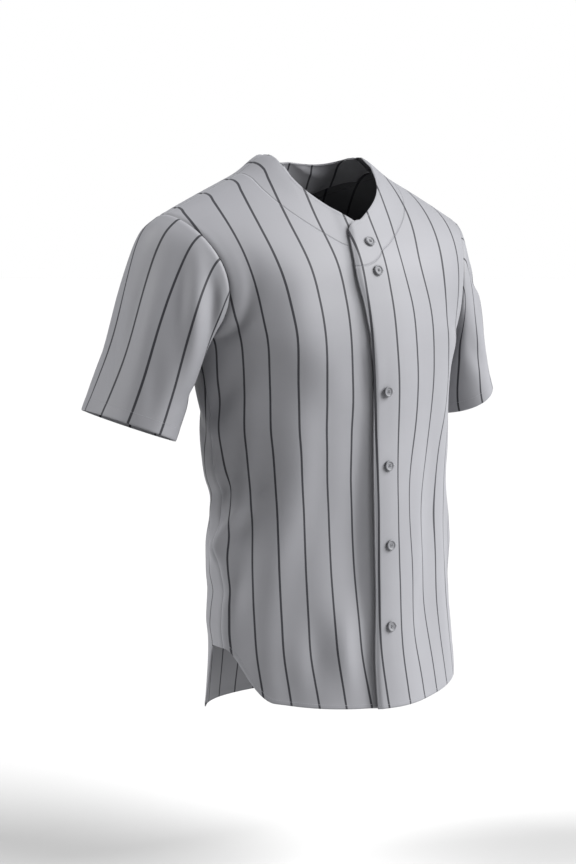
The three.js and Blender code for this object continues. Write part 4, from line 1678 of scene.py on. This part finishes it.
@dataclass
class Buttons:
    """Six four-hole buttons on the centre line, with their thread and their buttonholes."""

    form: BodyForm
    levels: tuple[float, ...] = (659.0, 622.0, 463.0, 361.0, 251.0, 138.0)
    radius: float = 7.4
    thickness: float = 3.0
    clearance: float = 0.5
    band_stand: float = 6.5
    tilt_span: float = 5.0
    hole_ring: float = 1.55
    hole_radius: float = 0.72
    hole_depth: float = 1.5
    segments: int = 72
    strand_radius: float = 0.27
    strand_bow: float = 1.25
    strand_height: float = 1.12
    strand_shift: float = 0.22
    buttonhole_lift: float = 0.05
    buttonhole_half: tuple[float, float] = (9.6, 1.5)
    buttonhole_shift: float = 1.9
    buttonhole_radius: float = 0.5
    buttonhole_stitches: int = 48

    def frame_at(self, level: float) -> tuple[Array, Array, Array, Array]:
        """Place and directions of the button at a level.

        Args:
            level: level on the centre line.

        Returns:
            The point on the cloth, and the unit directions across, up and outwards.
        """
        here, above, below = (
            self.form.point(Face.FRONT, np.array(level + step), np.array(0.0))
            for step in (0.0, self.tilt_span, -self.tilt_span)
        )
        up = unit(above - below)
        across = np.array([1.0, 0.0, 0.0])
        out = unit(np.cross(across, up))
        place = here + out * self.band_stand
        return place + across * float(self.form.sway.at(np.array(level))), across, up, out

    def profile(self) -> Array:
        """The turned outline: radius and height from the back's middle to the face's middle."""
        edge = (
            (3.7, 0.0), (1.1, 0.0), (0.5, 0.2), (0.12, 0.65), (0.0, 1.2), (0.0, 1.8), (0.15, 2.4),
            (0.5, 2.8), (0.95, self.thickness), (1.45, 2.95), (1.95, 2.7), (2.4, 2.3), (2.8, 2.05),
            (3.2, 1.96), (3.7, 1.94), (4.2, 1.95), (4.6, 1.97), (5.0, 2.0), (5.35, 2.02),
            (5.7, 2.03), (6.05, 2.04), (6.4, 2.05), (6.8, 2.05),
        )
        rim = [(self.radius - inside, height) for inside, height in edge]
        return np.array([(0.0, 0.0), *rim, (0.15, 2.05)])

    def disc(self) -> Mesh:
        """One button at the origin: the outline turned about Z, with four holes sunk in its face.

        A hole is a flat-bottomed dip: one less a smoothstep of the distance from its middle.

        Returns:
            Vertices, and quads with the poles closed.
        """
        outline = self.profile()
        turn = np.arange(self.segments) * 2 * math.pi / self.segments
        x = outline[:, :1] * np.cos(turn)
        y = outline[:, :1] * np.sin(turn)
        z = np.broadcast_to(outline[:, 1:], x.shape).copy()
        face = np.arange(len(outline))[:, None] > len(outline) // 2
        for angle in math.pi / 4 + np.arange(4) * math.pi / 2:
            middle = self.hole_ring * np.array([math.cos(angle), math.sin(angle)])
            gap = np.hypot(x - middle[0], y - middle[1])
            inside = (gap - self.hole_radius * 0.55) / (self.hole_radius * 0.9)
            z = np.where(face, z - self.hole_depth * (1 - smooth(inside)), z)
        return np.stack([x, y, z], axis=-1).reshape(-1, 3), ring_quads(*x.shape)

    def placed(self, points: Array, level: float, lift: float) -> Array:
        """Points from the button's own frame to its place on the cloth."""
        place, across, up, out = self.frame_at(level)
        base = place + out * lift
        return base + points[:, :1] * across + points[:, 1:2] * up + points[:, 2:] * out

    def strand(self, start: Array, end: Array, sides: int = 8) -> Mesh:
        """A strand between two points: a tube with closed, tapering ends, bowed as half a sine.

        Args:
            start: first point.
            end: last point.
            sides: sides of the tube.

        Returns:
            Vertices and quads.
        """
        t = np.array([0.0, 0.02, 0.1, 0.25, 0.5, 0.75, 0.9, 0.98, 1.0])
        girth = np.array([0.05, 0.7, 1.0, 1.0, 1.0, 1.0, 1.0, 0.7, 0.05]) * self.strand_radius
        middle = start + (end - start) * t[:, None]
        middle[:, 2] += self.strand_bow * np.sin(math.pi * t)
        way = unit(end - start)
        side = unit(np.cross(way, np.array([0.0, 0.0, 1.0])))
        rise = np.cross(side, way)
        turn = np.arange(sides) * 2 * math.pi / sides
        ring = np.cos(turn)[None, :, None] * side + np.sin(turn)[None, :, None] * rise
        points = middle[:, None, :] + ring * girth[:, None, None]
        return points.reshape(-1, 3), ring_quads(len(t), sides)

    def thread(self) -> Mesh:
        """Two pairs of strands across the four holes, in the button's own frame."""
        reach = self.hole_ring * math.cos(math.pi / 4)
        parts = []
        for y in (-reach, reach):
            for shift in (-self.strand_shift, self.strand_shift):
                start = np.array([-reach - 0.1, y + shift, self.strand_height])
                parts.append(self.strand(start, start * np.array([-1.0, 1.0, 1.0])))
        return join_parts(parts)

    def buttonhole(self) -> Mesh:
        """The sewn buttonhole under a button: an oval ring of close stitches round a slit.

        The ring is an ellipse with a flattened tube round it, whose radius ripples as a cosine.

        Returns:
            Vertices and quads, in the button's own frame.
        """
        (half, wide), stitches = self.buttonhole_half, self.buttonhole_stitches
        count, sides = 2 * stitches, 8
        turn = np.linspace(0, 2 * math.pi, count + 1)[:-1]
        along = self.buttonhole_shift + half * np.cos(turn)
        centre = np.stack([along, wide * np.sin(turn), 0 * turn], axis=-1)
        way = unit(np.roll(centre, -1, axis=0) - np.roll(centre, 1, axis=0))
        up = np.array([0.0, 0.0, 1.0])
        side = np.cross(way, up)
        radius = self.buttonhole_radius * (1 + 0.12 * np.cos(stitches * turn))[:, None]
        ring = np.arange(sides) * 2 * math.pi / sides
        points = (
            centre[:, None, :]
            + side[:, None, :] * (radius * np.cos(ring))[..., None] * 1.2
            + up * (radius * np.sin(ring))[..., None] * 0.7
        )
        return points.reshape(-1, 3), ring_quads(count, sides, closed=True, flip=True)


@dataclass
class Studio:
    """Floor, lights and camera, in metres and degrees.

    A light has its bearing to the right of the camera, seen from the garment, its height, its
    strength and its width.
    """

    floor_z: float = -1.02
    key: tuple[float, float, float, float] = (84.0, 34.0, 8.2, 45.0)
    rim: tuple[float, float, float, float] = (-84.0, 38.0, 3.5, 26.0)
    floor_tones: tuple[float, float] = (0.465, 0.475)
    floor_glow: float = 0.05
    camera_azimuth: float = -36.5
    camera_elevation: float = 5.0
    camera_distance: float = 3.0
    target: tuple[float, float, float] = (-0.0425, -0.0056, -0.402)
    focal_px: float = 2083.0
    frame_px: tuple[int, int] = (576, 864)

    def back_vector(self) -> Vector:
        """The direction from the target to the camera."""
        azimuth, elevation = math.radians(self.camera_azimuth), math.radians(self.camera_elevation)
        return Vector(
            (
                math.sin(azimuth) * math.cos(elevation),
                -math.cos(azimuth) * math.cos(elevation),
                math.sin(elevation),
            )
        )

    def floor(self) -> bpy.types.Object:
        """A wide pale floor below the garment, a disc with its rim far away.

        Returns:
            The floor.
        """
        material = bpy.data.materials.new("floor_paint")
        material.use_nodes = True
        graph = ShaderGraph(material.node_tree)
        place = graph.node("ShaderNodeTexCoord", {}, output="Object")
        grain = graph.noise(place, 3.0)
        dark, light = ((tone, tone, tone, 1.0) for tone in self.floor_tones)
        shader = graph.node(
            "ShaderNodeBsdfPrincipled",
            {},
            {
                "Base Color": graph.mix_colour(grain, dark, light),
                "Roughness": 0.9,
                "Specular IOR Level": 0.1,
                "Emission Color": (1.0, 1.0, 1.0, 1.0),
                "Emission Strength": self.floor_glow,
            },
        )
        graph.node("ShaderNodeOutputMaterial", {}, {"Surface": shader})
        sides = 96
        turn = np.arange(sides) * 2 * math.pi / sides
        radius = np.array([[0.001], [1.0], [4.0], [16.0], [60.0]])
        x, y = radius * np.cos(turn), radius * np.sin(turn)
        points = np.stack([x, y, np.full(x.shape, self.floor_z)], axis=-1).reshape(-1, 3) / MM
        floor = make_object("floor", points, ring_quads(len(radius), sides, flip=True), material)
        return floor

    def light(
        self, name: str, bearing: float, height: float, strength: float, width: float
    ) -> None:
        """A far, wide and soft light, which is even over the whole floor.

        Args:
            name: name of the light.
            bearing: degrees to the right of the camera, seen from the garment.
            height: degrees above the level.
            strength: light that falls on a surface facing it, in watts per square metre.
            width: width of the light as seen from the garment, in degrees.
        """
        data = bpy.data.lights.new(name, "SUN")
        data.energy, data.angle = strength, math.radians(width)
        light = bpy.data.objects.new(name, data)
        turn, rise = math.radians(self.camera_azimuth + bearing), math.radians(height)
        towards = Vector(
            (math.sin(turn) * math.cos(rise), -math.cos(turn) * math.cos(rise), math.sin(rise))
        )
        light.rotation_euler = towards.to_track_quat("Z", "Y").to_euler()
        bpy.context.scene.collection.objects.link(light)

    def world(self) -> None:
        """A white surround that only the camera sees, so it casts no light."""
        world = bpy.data.worlds.new("surround")
        bpy.context.scene.world = world
        world.use_nodes = True
        graph = ShaderGraph(world.node_tree)
        seen = graph.node("ShaderNodeLightPath", {}, output="Is Camera Ray")
        inputs = {"Color": (1.0, 1.0, 1.0, 1.0), "Strength": seen}
        shade = graph.node("ShaderNodeBackground", {}, inputs)
        graph.node("ShaderNodeOutputWorld", {}, {"Surface": shade})

    def camera(self) -> None:
        """The camera at the photograph's angle, with its focal length in pixels of the frame."""
        data = bpy.data.cameras.new("camera")
        width, height = self.frame_px
        data.sensor_fit = "VERTICAL"
        data.sensor_width, data.sensor_height = 36.0 * width / height, 36.0
        data.lens = self.focal_px / height * data.sensor_height
        back = self.back_vector()
        camera = bpy.data.objects.new("camera", data)
        camera.location = Vector(self.target) + back * self.camera_distance
        camera.rotation_euler = (-back).to_track_quat("-Z", "Y").to_euler()
        bpy.context.scene.collection.objects.link(camera)
        bpy.context.scene.camera = camera

    def build(self) -> None:
        """Sets the floor, the surround, the lights and the camera."""
        self.floor()
        self.world()
        self.light("key", *self.key)
        self.light("rim", *self.rim)
        self.camera()
        view = bpy.context.scene.view_settings
        view.view_transform = "Standard"
        view.look = "None"


@dataclass
class Jersey:
    form: BodyForm = BodyForm()
    left_stripes: Stripes = LEFT_STRIPES
    right_stripes: Stripes = RIGHT_STRIPES
    back_stripes: Stripes = Stripes(25.0)
    stitching: Stitching = Stitching()
    knit_finish: KnitFinish = KnitFinish()
    button_finish: PlainFinish = PlainFinish(
        "button", (0.15, 0.152, 0.163), 0.5, 0.25, 700.0, 0.00003
    )
    yarn_finish: PlainFinish = PlainFinish(
        "sewing_thread", (0.25, 0.252, 0.268), 0.6, 0.3, 2600.0, 0.00004
    )
    neck_sewing: float = 5.0
    facing_sewing: float = 52.0

    def __post_init__(self) -> None:
        """Makes the materials."""
        self.knit = self.knit_finish.build()
        self.button = self.button_finish.build()
        self.yarn = self.yarn_finish.build()

    def add(self, piece: bpy.types.Object, slot: str, *nodes: str) -> None:
        """Lets a piece ride on the body and stand for its nodes."""
        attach(piece, "root")
        if nodes:
            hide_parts(*nodes)
        LOG.info("%s: %d faces", piece.name, len(piece.data.polygons))

    def sew(self, name: str, lines: list[tuple[Array, Array]]) -> bpy.types.Object:
        """Adds rows of stitches as one piece.

        Args:
            name: name of the piece.
            lines: points and normals of each row.

        Returns:
            The piece.
        """
        parts = [self.stitching.along(*line) for line in lines]
        piece = make_object(name, *join_parts(parts), self.yarn)
        self.add(piece, "jersey_knit")
        return piece

    def fronts(self, cloth: BodyCloth, fastenings: list[bpy.types.Object]) -> None:
        """Builds both fronts with their stitches.

        Args:
            cloth: the body's panels.
            fastenings: what is sewn to the left front's band; not used.
        """
        for hand, stripes, extra in (
            (Hand.LEFT, self.left_stripes, fastenings),
            (Hand.RIGHT, self.right_stripes, []),
        ):
            side = hand.name.lower()
            sheet = cloth.front(hand, stripes)
            piece = wall_object(f"front_{side}_panel", sheet, self.knit)
            self.add(piece, "jersey_knit", f"front_{side}")
            to_hem, to_neck = sheet.distances["to_hem"], sheet.distances["to_neck"]
            columns = np.arange(to_hem.shape[1])
            neck_end = len(columns) - len(cloth.places) + cloth.neck_column
            lines = [
                contour(sheet, to_hem, cloth.hem.sewing_line, columns, False),
                contour(sheet, to_neck, self.neck_sewing, columns[2:neck_end], True),
                contour(sheet, to_neck, self.facing_sewing, columns[: neck_end + 12], True),
            ]
            stitches = self.sew(f"front_{side}_stitches", lines)

    def back(self, cloth: BodyCloth) -> None:
        """Builds the back with its stitches, and the neck facing inside it.

        Args:
            cloth: the body's panels.
        """
        sheet = cloth.back(self.back_stripes)
        piece = wall_object("back_panel", sheet, self.knit)
        self.add(piece, "jersey_knit", "back")
        to_hem, to_neck = sheet.distances["to_hem"], sheet.distances["to_neck"]
        columns = np.arange(to_hem.shape[1])
        first, last = cloth.back_columns
        lines = [
            contour(sheet, to_hem, cloth.hem.sewing_line, columns, False),
            contour(sheet, to_neck, self.neck_sewing, columns[first + 1 : last], True),
        ]
        stitches = self.sew("back_stitches", lines)
        strip = wall_object("neck_facing_strip", cloth.facing(sheet), self.knit)
        self.add(strip, "jersey_knit", "neck_facing")

    def sleeves(self) -> None:
        """Builds both sleeves, with the stitches of their hems."""
        for shape in (LEFT_SLEEVE, RIGHT_SLEEVE):
            side = shape.hand.name.lower()
            cloth = SleeveCloth(self.form, shape)
            sheet = cloth.build()
            piece = wall_object(f"sleeve_{side}_panel", sheet, self.knit)
            self.add(piece, "jersey_knit", f"sleeve_{side}")
            to_hem = sheet.distances["to_hem"]
            columns = np.arange(to_hem.shape[1])
            line = contour(sheet, to_hem, cloth.hem.sewing_line, columns, True)
            stitches = self.sew(f"sleeve_{side}_stitches", [line])

    def fasten(self) -> list[bpy.types.Object]:
        """Builds the buttons, their thread and their buttonholes.

        Returns:
            The thread and the buttonholes.
        """
        maker = Buttons(self.form)
        disc, faces = maker.disc()
        thread, thread_faces = maker.thread()
        hole, hole_faces = maker.buttonhole()
        strands, holes = [], []
        for number, level in enumerate(maker.levels, start=1):
            node = f"button_{number}"
            points = maker.placed(disc, level, maker.clearance)
            piece = make_object(f"{node}_disc", points, faces, self.button)
            self.add(piece, "button", node)
            strands.append((maker.placed(thread, level, maker.clearance), thread_faces))
            holes.append((maker.placed(hole, level, maker.buttonhole_lift), hole_faces))
        sewn = [
            make_object("button_thread", *join_parts(strands), self.yarn),
            make_object("buttonholes", *join_parts(holes), self.yarn),
        ]
        for piece in sewn:
            self.add(piece, "jersey_knit")
        return sewn

    def build(self) -> None:
        """Builds every piece."""
        fastenings = self.fasten()
        cloth = BodyCloth(self.form)
        self.fronts(cloth, fastenings)
        self.back(cloth)
        self.sleeves()


def main() -> None:
    """Builds the garment and the studio."""
    logging.basicConfig(level=logging.INFO, format="%(name)s: %(message)s")
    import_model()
    Jersey().build()
    Studio().build()


if __name__ == "__main__":
    main()
